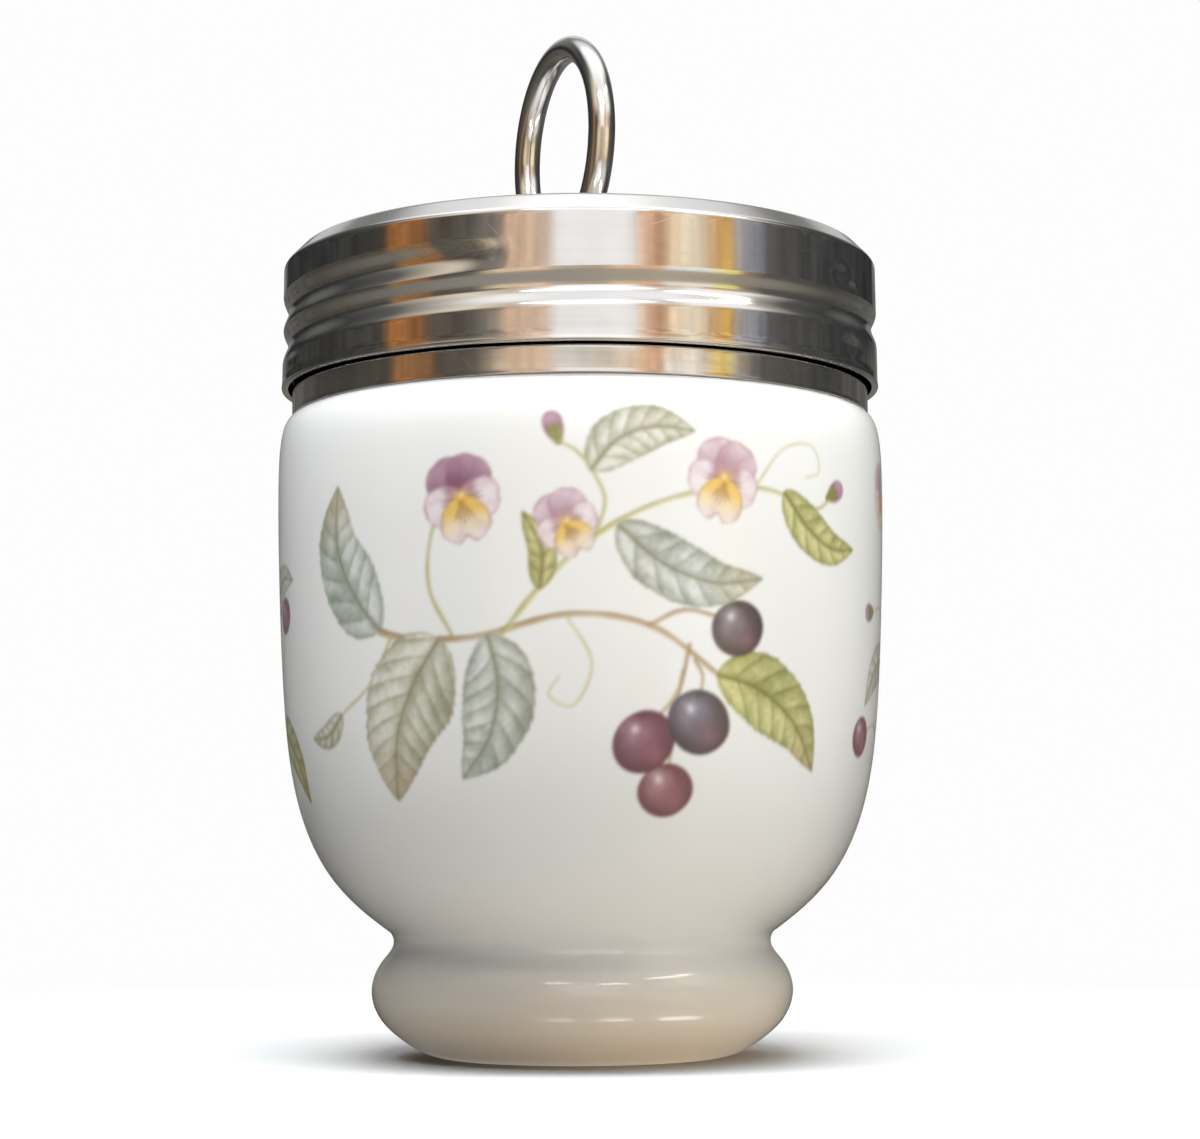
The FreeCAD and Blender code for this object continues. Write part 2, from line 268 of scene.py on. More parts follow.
# ---------------------------------------------------------------- cup
def cup_profile():
    """Rows from the middle of the underside, over the outside and the rim, to
    the middle of the inside, with the first and last row of the fine band."""
    under = cspline(UNDER_PTS, (1.0, 0.0), (0.15, -1.0), 0.55)
    u_end = under[-1]
    under = under[np.hypot(under[:, 0] - u_end[0], under[:, 1]) > 0.5]
    edge_in = np.array([(12.58, 0.42), (12.62, 0.24), (12.67, 0.10), (12.76, 0.02), (12.90, 0.0)])
    foot = cspline(FOOT_PTS, (1.0, 0.05), (0.75, 1.0), 0.4)
    body = cspline(BODY_PTS, (1.45, 1.0), (-1.0, 0.12), 0.16)
    lower = body[body[:, 1] < 19.0][::3]
    band = body[(body[:, 1] >= 19.0) & (body[:, 1] <= 65.4) & (np.arange(len(body)) > 20)]
    upper = body[(body[:, 1] > 65.4)]
    rim_r = 0.5 * (NECK_RO - NECK_RI)
    rim_c = NECK_RI + rim_r
    rim_z = RIM_Z - rim_r
    inner = cspline(IN_PTS[::-1], (0.0, -1.0), (-1.0, 0.0), 0.8)
    low = chain(under, edge_in, seg((13.0, 0.0), (14.3, 0.0), 0.25), foot, lower)
    high = chain(upper, seg((30.05, LEDGE_Z), (NECK_RO, LEDGE_Z), 0.3),
                 seg((NECK_RO, LEDGE_Z + 0.1), (NECK_RO, rim_z), 0.8),
                 arc(rim_c, rim_z, rim_r, 0, 180, 20),
                 seg((NECK_RI, rim_z), (NECK_RI, 72.5), 0.8), inner)
    high[-1, 0] = 0.0
    rows = np.concatenate([low, band, high])
    return rows, len(low), len(low) + len(band)


CUP_COLS, BAND_COLS = 264, 1320
CUP_START = -90.0


def build_cup(print_at):
    rows, b0, b1 = cup_profile()
    n = len(rows)
    cols = [BAND_COLS if b0 <= i < b1 else CUP_COLS for i in range(n)]
    co, faces, rws, tns, base, cols = lathe(rows, cols, start=CUP_START)
    # two strips hold the front and the back of the band, a third the rest
    s = np.concatenate([[0.0], np.cumsum(np.hypot(*np.diff(rows, axis=0).T))])
    uvs = []
    for rw, tn in zip(rws, tns):
        in_band = (rw >= b0).all(1) & (rw < b1).all(1)
        mid = tn.mean(1)
        v_band = (s[rw] - s[b0]) / (s[b1 - 1] - s[b0])
        front = mid < 0.5
        u = np.where(front[:, None], tn * 2.0, tn * 2.0 - 1.0)
        v = np.where(front[:, None], 0.545 + 0.45 * v_band, 0.09 + 0.45 * v_band)
        lowp = (rw <= b0).all(1)
        v_low = 0.003 + 0.035 * s[rw] / s[b0]
        v_high = 0.045 + 0.035 * (s[rw] - s[b1 - 1]) / (s[-1] - s[b1 - 1])
        v_rest = np.where(lowp[:, None], v_low, v_high)
        u = np.where(in_band[:, None], u, tn)
        v = np.where(in_band[:, None], v, v_rest)
        uvs.append(np.stack([0.002 + 0.996 * u, v], -1))
    ob = mesh_object("cup_porcelain", co, faces, uvs)
    # colours of the fired decoration, one per point
    col = np.ones((len(co), 4), np.float32)
    first, last = base[b0], base[b1 - 1] + BAND_COLS
    ang = CUP_START + 360.0 * np.arange(BAND_COLS) / BAND_COLS
    grid = print_at(ang, s[b0:b1] - s[b0], rows[b0:b1])
    col[first:last, :3] = grid.reshape(-1, 3)
    layer = ob.data.attributes.new("print", "FLOAT_COLOR", "POINT")
    layer.data.foreach_set("color", col.ravel())
    return ob


# ---------------------------------------------------------------- lid
def lid_flank(h):
    return LID_R + (LID_R_TOP - LID_R) * h / (LID_H - SHOULDER) + LID_FLARE * np.exp(-(h / FLARE_H) ** 2)


def lid_side(t, step):
    """Rows of the outer (t = 0) or inner (t = LID_T) surface, upwards."""
    h = np.arange(0.0, 12.41, step)
    flank = np.stack([lid_flank(h) - t, LID_Z0 + h], 1)
    if t > 0:
        # the lower edge is turned in and pressed flat
        flank[:, 0] = np.minimum(flank[:, 0], HEM_R + (flank[:, 0] - HEM_R) * smooth((h - HEM_H) / 0.35))
    r1 = 0.7 - t * 0.55
    low = arc(LID_R_TOP - 0.7 - t * 0.45, LID_Z0 + LID_H - SHOULDER - 0.29, r1, 0, 45, 8)
    r2 = 1.0 - t * 0.8
    up = arc(LID_R_TOP - SHOULDER - 0.41 - t * 0.2, LID_Z0 + LID_H - t - r2, r2, 45, 90, 10)
    mid = seg(low[-1], up[0], max(step, 0.16))
    return chain(flank, low, mid, up)


def build_lid():
    out = lid_side(0.0, 0.13)
    inn = lid_side(LID_T, 0.13)
    # lower edge, rounded by the turning in
    r_in, r_out, rr = inn[0][0], out[0][0], 0.24
    edge = chain(arc(r_in + rr, LID_Z0 + rr, rr, 180, 270, 5), arc(r_out - rr, LID_Z0 + rr, rr, 270, 360, 6))
    ceil = seg((0.0, LID_TOP - LID_T), (inn[-1][0], LID_TOP - LID_T), 1.6)
    top = seg((out[-1][0], LID_TOP), (0.0, LID_TOP), 1.2)
    inside = chain(ceil, inn[::-1][:-1][inn[::-1][:-1][:, 1] > LID_Z0 + rr + 0.04])
    rows = chain(inside, edge, out[out[:, 1] > LID_Z0 + rr + 0.04], top)
    n_in = len(inside) + 3
    n = len(rows)
    cols = [400] * n

    def shift(a, i, r, z):
        if i < n_in:
            d = -GROOVE_D * thread_bump(a, z, GROOVE_END_A, LID_Z0 + GROOVE_END_H, GROOVE_TURN, 26.0)
        else:
            # outside, the rolled groove opens wider, most of all below
            d = -GROOVE_D * thread_bump(a, z, GROOVE_END_A, LID_Z0 + GROOVE_END_H - 0.22, GROOVE_TURN, 30.0,
                                        OUT_BELOW, OUT_ABOVE)
        # small knocks in the sheet, and the slight unevenness of a pressing
        for ka, kz, wa, wz, depth in ((57.0, 78.7, 2.6, 0.75, 0.055), (61.5, 77.6, 2.2, 0.6, 0.05),
                                      (61.0, 71.7, 2.8, 0.65, 0.05), (-70.0, 71.4, 3.0, 0.5, 0.035),
                                      (152.0, 74.6, 3.2, 0.8, 0.04)):
            da = (a - ka + 180.0) % 360.0 - 180.0
            d = d - depth * np.exp(-(da / wa) ** 2 - ((z - kz) / wz) ** 2)
        side = smooth((r - 28.2) / 1.2)
        t = np.radians(a)
        wave = (0.010 * np.sin(3 * t + 0.6 + z * 0.11) + 0.006 * np.sin(7 * t + 2.0 - z * 0.23)
                + 0.004 * np.sin(13 * t + 1.1 + z * 0.31)) - 0.012
        return d + wave * side

    co, faces, rws, tns, base, _ = lathe(rows, cols, start=-180.0, shift=shift)
    return mesh_object("lid_shell", co, faces, plain_uv(rows, rws, tns))


# ---------------------------------------------------------------- collar
def build_collar():
    def side(t, step):
        z = np.arange(LEDGE_Z, COL_TOP_Z - 0.8 + 1e-6, step)
        r = COL_BAND_R + (COL_R - COL_BAND_R) * smooth((z - (COL_STEP_Z - 0.6)) / 1.2) - t
        c = arc(COL_R - 0.8, COL_TOP_Z - 0.8, 0.8 - t, 0, 90, 12 if t == 0 else 6)
        return chain(np.stack([r, z], 1), c, seg(c[-1], (COL_LIP_R, c[-1][1]), 0.15))

    out, inn = side(0.0, 0.15), side(COL_T, 0.3)
    b_in, b_out = inn[0], out[0]
    bottom = np.array([(b_in[0], LEDGE_Z), (0.5 * (b_in[0] + b_out[0]), LEDGE_Z), (b_out[0] - 0.08, LEDGE_Z),
                       (b_out[0] - 0.02, LEDGE_Z + 0.03), (b_out[0], LEDGE_Z + 0.1)])
    lip = seg(out[-1], inn[-1], 0.13)
    rows = chain(bottom, out[1:], lip, inn[::-1][:-1])
    cols = [360] * len(rows)

    def shift(a, i, r, z):
        d = RIB_H * thread_bump(a, z, RIB_END_A, RIB_TOP_Z, RIB_TURN, 30.0)
        t = np.radians(a)
        band = smooth((r - 29.9) / 0.3) * smooth((z - LEDGE_Z) / 0.4)
        return d + band * (0.006 * np.sin(5 * t + 0.4) + 0.005 * np.sin(11 * t + z) - 0.011)

    co, faces, rws, tns, base, _ = lathe(rows, cols, closed=True, start=-180.0, shift=shift)
    return mesh_object("collar_ferrule", co, faces, plain_uv(rows, rws, tns, True))


# ---------------------------------------------------------------- lifting ring
def ring_axes():
    t = math.radians(RING_TURN)
    return np.array([math.cos(t), -math.sin(t), 0.0]), np.array([math.sin(t), math.cos(t), 0.0])


def build_ring():
    along, nrm = ring_axes()
    up = np.array([0.0, 0.0, 1.0])
    zc = LID_TOP + RING_R + WIRE_R - 0.12
    n, m = 288, 48
    j = np.arange(n)
    k = np.arange(m)
    a = 2 * np.pi * j / n - 0.5 * np.pi       # starts at the bottom
    b = 2 * np.pi * k / m
    rad = RING_R + WIRE_R * np.cos(b)[None, :] * np.ones((n, 1))
    side = WIRE_R * np.sin(b)[None, :] * np.ones((n, 1))
    co = (rad * np.cos(a)[:, None])[..., None] * along + (rad * np.sin(a)[:, None])[..., None] * up \
        + side[..., None] * nrm
    co[..., 2] += zc
    co[..., 2] = np.maximum(co[..., 2], LID_TOP)
    co[..., 0] += RING_X
    J, K = np.meshgrid(j, k, indexing="ij")
    J1, K1 = (J + 1) % n, (K + 1) % m
    idx = lambda p, q: (p * m + q).ravel()
    faces = np.stack([idx(J, K), idx(J, K1), idx(J1, K1), idx(J1, K)], 1)
    u = np.stack([J / n, J / n, (J + 1) / n, (J + 1) / n], -1).reshape(-1, 4)
    v = np.stack([K / m, (K + 1) / m, (K + 1) / m, K / m], -1).reshape(-1, 4)
    uv = np.stack([0.003 + 0.994 * v, 0.003 + 0.994 * u], -1)
    return mesh_object("ring_wire", co.reshape(-1, 3), [faces], [uv])


def build_braze():
    """Low uneven mound of brazing metal under the ring."""
    along, nrm = ring_axes()
    n, m = 96, 22
    co = [np.array([0.0, 0.0, LID_TOP + 1.12])]
    for i in range(1, m + 1):
        q = i / m
        h = 1.12 * (1.0 - q * q) ** 0.75
        for j in range(n):
            a = 2 * math.pi * j / n
            w = 1.0 + 0.035 * math.sin(3 * a + 1.0) + 0.03 * math.sin(5 * a + 0.3) + 0.02 * math.sin(9 * a + 2.0)
            w *= 0.93
            x, y = 4.95 * q * w * math.cos(a), 2.55 * q * w * math.sin(a)
            hh = h * (1.0 + 0.05 * math.sin(4 * a + 3 * q) * q * (1 - q) * 3)
            co.append(x * along + y * nrm + np.array([0, 0, LID_TOP + max(0.0, hh)]))
    co.append(np.array([0.0, 0.0, LID_TOP]))
    tris, quads = [], []
    last = len(co) - 1
    ring = lambda i, j: 1 + (i - 1) * n + j % n
    for j in range(n):
        tris.append((0, ring(1, j + 1), ring(1, j)))
        tris.append((last, ring(m, j), ring(m, j + 1)))
        for i in range(1, m):
            quads.append((ring(i, j), ring(i, j + 1), ring(i + 1, j + 1), ring(i + 1, j)))
    co = np.array(co)
    co_flat = co.copy()
    co[:, 0] += RING_X
    tris, quads = np.array(tris), np.array(quads)
    # the faces above look down where along x nrm points up, so they are turned over
    if np.cross(along, nrm)[2] > 0:
        tris, quads = tris[:, ::-1], quads[:, ::-1]
    flat = np.stack([co_flat @ along / 10.4 + 0.5, co_flat @ nrm / 5.4 + 0.5], -1)
    uv = []
    for f in (quads, tris):
        q = flat[f].copy()
        base_face = (f == last).any(1)
        q[..., 1] = np.where(base_face[:, None], q[..., 1] * 0.3 + 0.01, q[..., 1] * 0.6 + 0.36)
        uv.append(q)
    return mesh_object("ring_braze_metal", co, [quads, tris], uv)


# ---------------------------------------------------------------- decoration
# The fired transfer on the cup: a loose garland of violas, sloes and leaves
# in soft watercolour.  x runs round the cup in millimetres (0 at the front,
# to the right), y up the side from the lower end of the fine band.
PX = 0.1
AROUND = 2 * math.pi * 31.5
WHITE = np.array([232.0, 231.0, 227.0])      # unprinted glaze, to which the colours below relate


class Sheet:
    def __init__(self, w, h):
        self.nx, self.ny = int(round(w / PX)), int(round(h / PX)) + 1
        self.c = np.tile(WHITE.astype(np.float32), (self.ny, self.nx, 1))

    def window(self, x0, y0, x1, y1):
        i0, i1 = int(math.floor(x0 / PX)), int(math.ceil(x1 / PX)) + 1
        j0, j1 = max(0, int(math.floor(y0 / PX))), min(self.ny, int(math.ceil(y1 / PX)) + 1)
        gx, gy = np.meshgrid(np.arange(i0, i1) * PX, np.arange(j0, j1) * PX)
        return gx.astype(np.float32), gy.astype(np.float32), (slice(j0, j1), np.arange(i0, i1) % self.nx)

    def lay(self, win, colour, a):
        """Covers with a colour (one, or an array of them)."""
        a = np.clip(a, 0.0, 1.0)[..., None]
        old = self.c[win]
        self.c[win] = old * (1 - a) + np.asarray(colour, np.float32) * a

    def glaze(self, win, colour, a):
        """Tints what lies below, as thin paint does."""
        a = np.clip(a, 0.0, 1.0)[..., None]
        old = self.c[win]
        self.c[win] = old * (1 - a + a * np.asarray(colour, np.float32) / WHITE.astype(np.float32))


LATTICE = np.random.default_rng(811).random((8, 97, 97)).astype(np.float32)


def value_noise(x, y, cell, seed):
    g = LATTICE[seed % 8]
    u, v = x / cell + 13.7 * seed, y / cell + 7.3 * seed
    i, j = np.floor(u).astype(int), np.floor(v).astype(int)
    fu, fv = smooth(u - i), smooth(v - j)
    a, b = g[j % 97, i % 97], g[j % 97, (i + 1) % 97]
    c, d = g[(j + 1) % 97, i % 97], g[(j + 1) % 97, (i + 1) % 97]
    return (a * (1 - fu) + b * fu) * (1 - fv) + (c * (1 - fu) + d * fu) * fv


def mottle(x, y, cell, seed, octaves=3):
    out, amp, tot = 0.0, 1.0, 0.0
    for k in range(octaves):
        out = out + amp * value_noise(x, y, cell / 2 ** k, seed + 3 * k)
        tot += amp
        amp *= 0.55
    return out / tot


def rgb(*v):
    return np.array(v, np.float32)


def blend(a, b, t):
    t = np.clip(t, 0.0, 1.0)[..., None]
    return np.asarray(a, np.float32) * (1 - t) + np.asarray(b, np.float32) * t


def bell(d, w):
    return np.exp(-(d / w) ** 2)


def through(points, per=7):
    """Smooth path through the points (Catmull-Rom)."""
    p = np.array(points, float)
    p = np.vstack([2 * p[0] - p[1], p, 2 * p[-1] - p[-2]])
    out = []
    for i in range(1, len(p) - 2):
        t = np.arange(per)[:, None] / per
        a, b, c, d = p[i - 1], p[i], p[i + 1], p[i + 2]
        out.append(0.5 * (2 * b + (c - a) * t + (2 * a - 5 * b + 4 * c - d) * t ** 2 + (3 * b - a - 3 * c + d) * t ** 3))
    out.append(p[-2][None])
    return np.vstack(out)


def nearest(gx, gy, path):
    """Run along the path (mm) and signed distance from it (left is positive)."""
    best = np.full(gx.shape, 1e9, np.float32)
    run = np.zeros(gx.shape, np.float32)
    side = np.ones(gx.shape, np.float32)
    s = 0.0
    for k in range(len(path) - 1):
        (ax, ay), (bx, by) = path[k], path[k + 1]
        ux, uy = bx - ax, by - ay
        ln = math.hypot(ux, uy)
        if ln < 1e-9:
            continue
        ux, uy = ux / ln, uy / ln
        px, py = gx - ax, gy - ay
        t = np.clip(px * ux + py * uy, 0.0, ln)
        d2 = (px - t * ux) ** 2 + (py - t * uy) ** 2
        ok = d2 < best
        best = np.where(ok, d2, best)
        run = np.where(ok, s + t, run)
        side = np.where(ok, np.where(ux * py - uy * px >= 0, 1.0, -1.0), side)
        s += ln
    return run, side * np.sqrt(best), s


def stem(sheet, points, w0, w1, colour, dark, a=0.85, seed=1):
    """A stalk that tapers from w0 to w1 wide, darker along one side."""
    path = through(points)
    m = max(w0, w1) + 0.5
    gx, gy, win = sheet.window(path[:, 0].min() - m, path[:, 1].min() - m, path[:, 0].max() + m, path[:, 1].max() + m)
    run, d, total = nearest(gx, gy, path)
    half = 0.5 * (w0 + (w1 - w0) * run / total) * (0.85 + 0.3 * value_noise(gx, gy, 1.4, seed))
    cover = smooth((half - np.abs(d)) / 0.16 + 0.5)
    tone = blend(colour, dark, smooth(0.5 + d / (half + 0.05) * 0.55) * 0.85)
    sheet.lay(win, tone, cover * a * (0.7 + 0.4 * value_noise(gx, gy, 2.0, seed + 2)))


SAGE = (rgb(222, 220, 208), rgb(150, 150, 122), rgb(118, 112, 80), rgb(132, 124, 92))
BLUE_SAGE = (rgb(216, 218, 211), rgb(138, 146, 132), rgb(108, 110, 88), rgb(122, 122, 100))
OLIVE = (rgb(206, 202, 142), rgb(134, 136, 74), rgb(104, 98, 50), rgb(110, 104, 56))


def leaf(sheet, points, width, kind, seed, veins=6, shape=(0.62, 0.9), teeth=0.0, tip=None):
    """A leaf along a curved midrib; width is its widest half."""
    pale, deep, rim, vein = kind
    path = through(points, 8)
    m = width * 1.35 + 0.8
    gx, gy, win = sheet.window(path[:, 0].min() - m, path[:, 1].min() - m, path[:, 0].max() + m, path[:, 1].max() + m)
    run, d, total = nearest(gx, gy, path)
    t = np.clip(run / total, 0.0, 1.0)
    p, q = shape
    peak = (p / (p + q)) ** p * (q / (p + q)) ** q
    half = width * (np.maximum(t, 1e-4) ** p) * (np.maximum(1 - t, 1e-4) ** q) / peak
    wob = 1.0 + 0.10 * (value_noise(gx, gy, 2.3, seed) - 0.5)
    space = total / (veins + 1.2)
    ph = (run - 0.75 * np.abs(d)) / space + 0.15 * (d > 0)
    k = np.round(ph)
    if teeth:
        saw = (run - 0.35 * np.abs(d)) / (space * 0.5)
        half = half * (1.0 + teeth * ((saw - np.floor(saw)) - 0.5))
    half = half * wob
    # beyond the ends of the path there is no leaf
    over = (run <= 1e-4) | (run >= total - 1e-4)
    inside = np.where(over, -np.abs(d), half - np.abs(d))
    cover = smooth(inside / 0.22 + 0.5)
    tone = 0.55 * mottle(gx, gy, 2.6, seed + 1) + 0.45 * mottle(gx, gy, 0.7, seed + 2)
    fr = ph - np.floor(ph)
    # each panel between two veins is darker against one of them
    tone = 1.25 * (tone - 0.5) + 0.42 + 0.62 * (1 - fr) ** 1.8 * smooth(np.abs(d) / (0.35 * width + 0.05))
    tone = tone + np.where(d > 0, 0.10, -0.10)
    tone = tone + 0.34 * bell(d, 0.16 * width) - 0.30 * bell(np.abs(d) - 0.42 * half, 0.22 * width)
    col = blend(pale, deep, tone - 0.08)
    if tip is not None:
        col = blend(col, tip, smooth((t - 0.55) / 0.45) * 0.75 * mottle(gx, gy, 1.8, seed + 5) * 1.4)
    sheet.lay(win, col, cover * 0.95)
    line = bell((ph - k) * space * 0.78, 0.075) * smooth((0.96 * half - np.abs(d)) / 0.4)
    sheet.lay(win, vein, cover * line * 0.62 * (0.6 + 0.7 * value_noise(gx, gy, 0.9, seed + 3)))
    # fine net between the veins
    net = np.abs(value_noise(gx, gy, 0.55, seed + 6) - 0.5)
    sheet.glaze(win, rim, cover * bell(net, 0.035) * 0.22)
    sheet.lay(win, 0.6 * vein + 0.4 * rim, cover * bell(d, 0.10 + 0.12 * (1 - t)) * 0.85)
    sheet.lay(win, pale, cover * bell(d - 0.16, 0.06) * 0.5)
    edge = bell(inside - 0.10, 0.11) * (0.35 + 0.75 * value_noise(gx, gy, 1.5, seed + 4))
    sheet.lay(win, rim, edge * 0.7 * (~over))


def sloe(sheet, x, y, r, kind, seed, squash=1.05, turn=0.3):
    """A round stone fruit with a dusty bloom."""
    gx, gy, win = sheet.window(x - 1.3 * r - 0.5, y - 1.3 * r - 0.5, x + 1.3 * r + 0.5, y + 1.3 * r + 0.5)
    c, s = math.cos(turn), math.sin(turn)
    u, v = (gx - x) * c + (gy - y) * s, -(gx - x) * s + (gy - y) * c
    rr = np.hypot(u / squash, v * squash) / r
    rr = rr * (1 + 0.03 * (value_noise(gx, gy, 1.7, seed) - 0.5))
    cover = smooth((1 - rr) * r / 0.22 + 0.5)
    base, shade, bloom = kind
    tone = blend(base, shade, smooth((rr - 0.35) / 0.65) * 0.85 + 0.35 * (mottle(gx, gy, 1.1, seed + 1) - 0.5))
    # bloom lies on the shoulder that faces up and left, warm light below right
    hx, hy = x - 0.34 * r, y + 0.36 * r
    dusty = np.exp(-((gx - hx) ** 2 + (gy - hy) ** 2) / (0.55 * r) ** 2)
    dusty = dusty * (0.45 + 0.9 * mottle(gx, gy, 0.9, seed + 2))
    tone = blend(tone, bloom, dusty * 0.78)
    low = np.exp(-((gx - x - 0.42 * r) ** 2 + (gy - y + 0.46 * r) ** 2) / (0.34 * r) ** 2)
    tone = blend(tone, rgb(168, 108, 112), low * 0.42)
    sheet.lay(win, tone, cover * 0.97)
    shine = np.exp(-((gx - x + 0.30 * r) ** 2 + (gy - y - 0.40 * r) ** 2) / (0.14 * r) ** 2)
    sheet.lay(win, rgb(232, 226, 228), shine * 0.8)
    # the faint groove down one side, the dimple at the stalk, and the rim
    groove = bell(u - 0.55 * r * np.sqrt(np.clip(1 - (v / r) ** 2, 0, 1)), 0.16 * r) * cover
    sheet.glaze(win, rgb(150, 116, 124), groove * 0.16 * smooth(v / r + 0.6))
    dimple = np.exp(-((gx - x) / (0.22 * r)) ** 2 - ((gy - y - 0.86 * r) / (0.12 * r)) ** 2) * cover
    sheet.lay(win, shade, dimple * 0.7)
    sheet.lay(win, shade, bell((1 - rr) * r - 0.08, 0.11) * cover * 0.55)


WINE = (rgb(124, 78, 92), rgb(92, 52, 64), rgb(172, 142, 156))
NIGHT = (rgb(98, 84, 92), rgb(66, 54, 58), rgb(150, 148, 160))
RIPE = (rgb(138, 86, 92), rgb(104, 60, 66), rgb(190, 156, 160))


def petal(sheet, x, y, ang, length, width, seed, inner, outer, line, notch=0.0, whiskers=0, blotch=None):
    """One petal: a rounded fan that is widest at two thirds of its length."""
    gx, gy, win = sheet.window(x - length - 0.8, y - length - 0.8, x + length + 0.8, y + length + 0.8)
    dx, dy = gx - x, gy - y
    rad = np.hypot(dx, dy)
    th = np.arctan2(dy, dx) - ang
    th = np.arctan2(np.sin(th), np.cos(th))
    u = rad * np.cos(th) / length
    v = rad * np.sin(th)
    uc = np.clip(u, 0.0, 1.0)
    half = width * np.sqrt(np.clip(1 - ((uc - 0.60) / np.where(uc < 0.60, 0.66, 0.42)) ** 2, 0, 1))
    half = half * (1 + 0.10 * (value_noise(gx, gy, 1.0, seed) - 0.5))
    end = 1.0 + 0.05 * (value_noise(gx, gy, 0.8, seed + 1) - 0.5) - notch * bell(v, 0.22 * width)
    inside = np.minimum(half - np.abs(v), (end - u) * length * 0.8)
    inside = np.where(u < 0.0, -1.0, inside)
    cover = smooth(inside / 0.2 + 0.5)
    tone = smooth((u - 0.10) / 0.85)
    col = blend(inner, outer, tone * 0.9 + 0.35 * (mottle(gx, gy, 1.0, seed + 2) - 0.5))
    sheet.lay(win, col, cover * 0.93)
    # soft folds that run out from the middle
    fold = 0.5 + 0.5 * np.cos(th * (7.0 + seed % 3) + 3.0 * value_noise(gx, gy, 2.0, seed + 3))
    sheet.glaze(win, rgb(206, 186, 196), cover * fold ** 3 * 0.35 * smooth((u - 0.15) / 0.5))
    if blotch is not None:
        sheet.lay(win, blotch, cover * smooth((0.52 - u) / 0.30) * 0.75 * (0.6 + 0.6 * mottle(gx, gy, 0.8, seed + 6)))
    for k in range(whiskers):
        off = abs(k - 0.5 * (whiskers - 1))
        w = (k - 0.5 * (whiskers - 1)) * 0.23
        ray = bell((th - w) * rad, 0.055) * smooth((0.66 - 0.06 * off - u) / 0.2) * smooth((u - 0.10) / 0.1)
        sheet.lay(win, rgb(92, 56, 72), cover * ray * 0.85)
    edge = bell(inside - 0.09, 0.09) * (0.4 + 0.8 * value_noise(gx, gy, 0.9, seed + 4))
    sheet.lay(win, line, edge * 0.75)


def viola(sheet, x, y, r, turn, seed, pale=False):
    """Five petals: two behind and above, two beside, one broad one below."""
    up = 0.5 * math.pi + turn
    out_up = rgb(214, 194, 202) if pale else rgb(176, 140, 158)
    in_up = rgb(168, 130, 148) if pale else rgb(126, 82, 102)
    line = rgb(158, 120, 122)
    petal(sheet, x, y, up + 0.50, r * 1.02, r * 0.52, seed, in_up, out_up, line)
    petal(sheet, x, y, up - 0.46, r * 1.00, r * 0.54, seed + 11, in_up, out_up, line)
    side_in, side_out, mark = rgb(236, 226, 224), rgb(226, 212, 214), rgb(150, 104, 126)
    petal(sheet, x, y, up + 1.72, r * 0.92, r * 0.46, seed + 5, side_in, side_out, line, whiskers=3, blotch=mark)
    petal(sheet, x, y, up - 1.70, r * 0.90, r * 0.46, seed + 17, side_in, side_out, line, whiskers=3, blotch=mark)
    petal(sheet, x, y, up + math.pi, r * 1.0, r * 0.60, seed + 7, rgb(236, 206, 130), rgb(228, 216, 214), line,
          notch=0.16, whiskers=5, blotch=rgb(222, 180, 92))
    gx, gy, win = sheet.window(x - 1.5, y - 1.5, x + 1.5, y + 1.5)
    d = np.hypot(gx - x, gy - y)
    sheet.lay(win, rgb(230, 186, 84), bell(d, 0.20 * r) * 0.95)
    sheet.lay(win, rgb(150, 110, 52), bell(np.hypot(gx - x, gy - y + 0.10 * r), 0.075 * r) * 0.8)
    sheet.lay(win, rgb(244, 232, 190), bell(np.hypot(gx - x, gy - y - 0.09 * r), 0.06 * r) * 0.8)


def bud(sheet, x, y, ang, size, seed):
    """A closed viola: a drop of petal in a pointed green calyx."""
    c, s = math.cos(ang), math.sin(ang)
    petal(sheet, x, y, ang, size * 1.25, size * 0.44, seed, rgb(134, 92, 108), rgb(184, 150, 162), rgb(120, 84, 92))
    for k, off in enumerate((-0.42, 0.42, 0.0)):
        ca, sa = math.cos(ang + off), math.sin(ang + off)
        leaf(sheet, [(x - 0.25 * size * c, y - 0.25 * size * s), (x + 0.30 * size * ca, y + 0.30 * size * sa),
                     (x + 0.74 * size * ca, y + 0.74 * size * sa)],
             size * 0.17, OLIVE, seed + k, veins=2, shape=(0.5, 0.7))


STALK, STALK_DARK = rgb(206, 200, 142), rgb(146, 138, 84)
TWIG, TWIG_DARK = rgb(188, 166, 126), rgb(138, 108, 76)


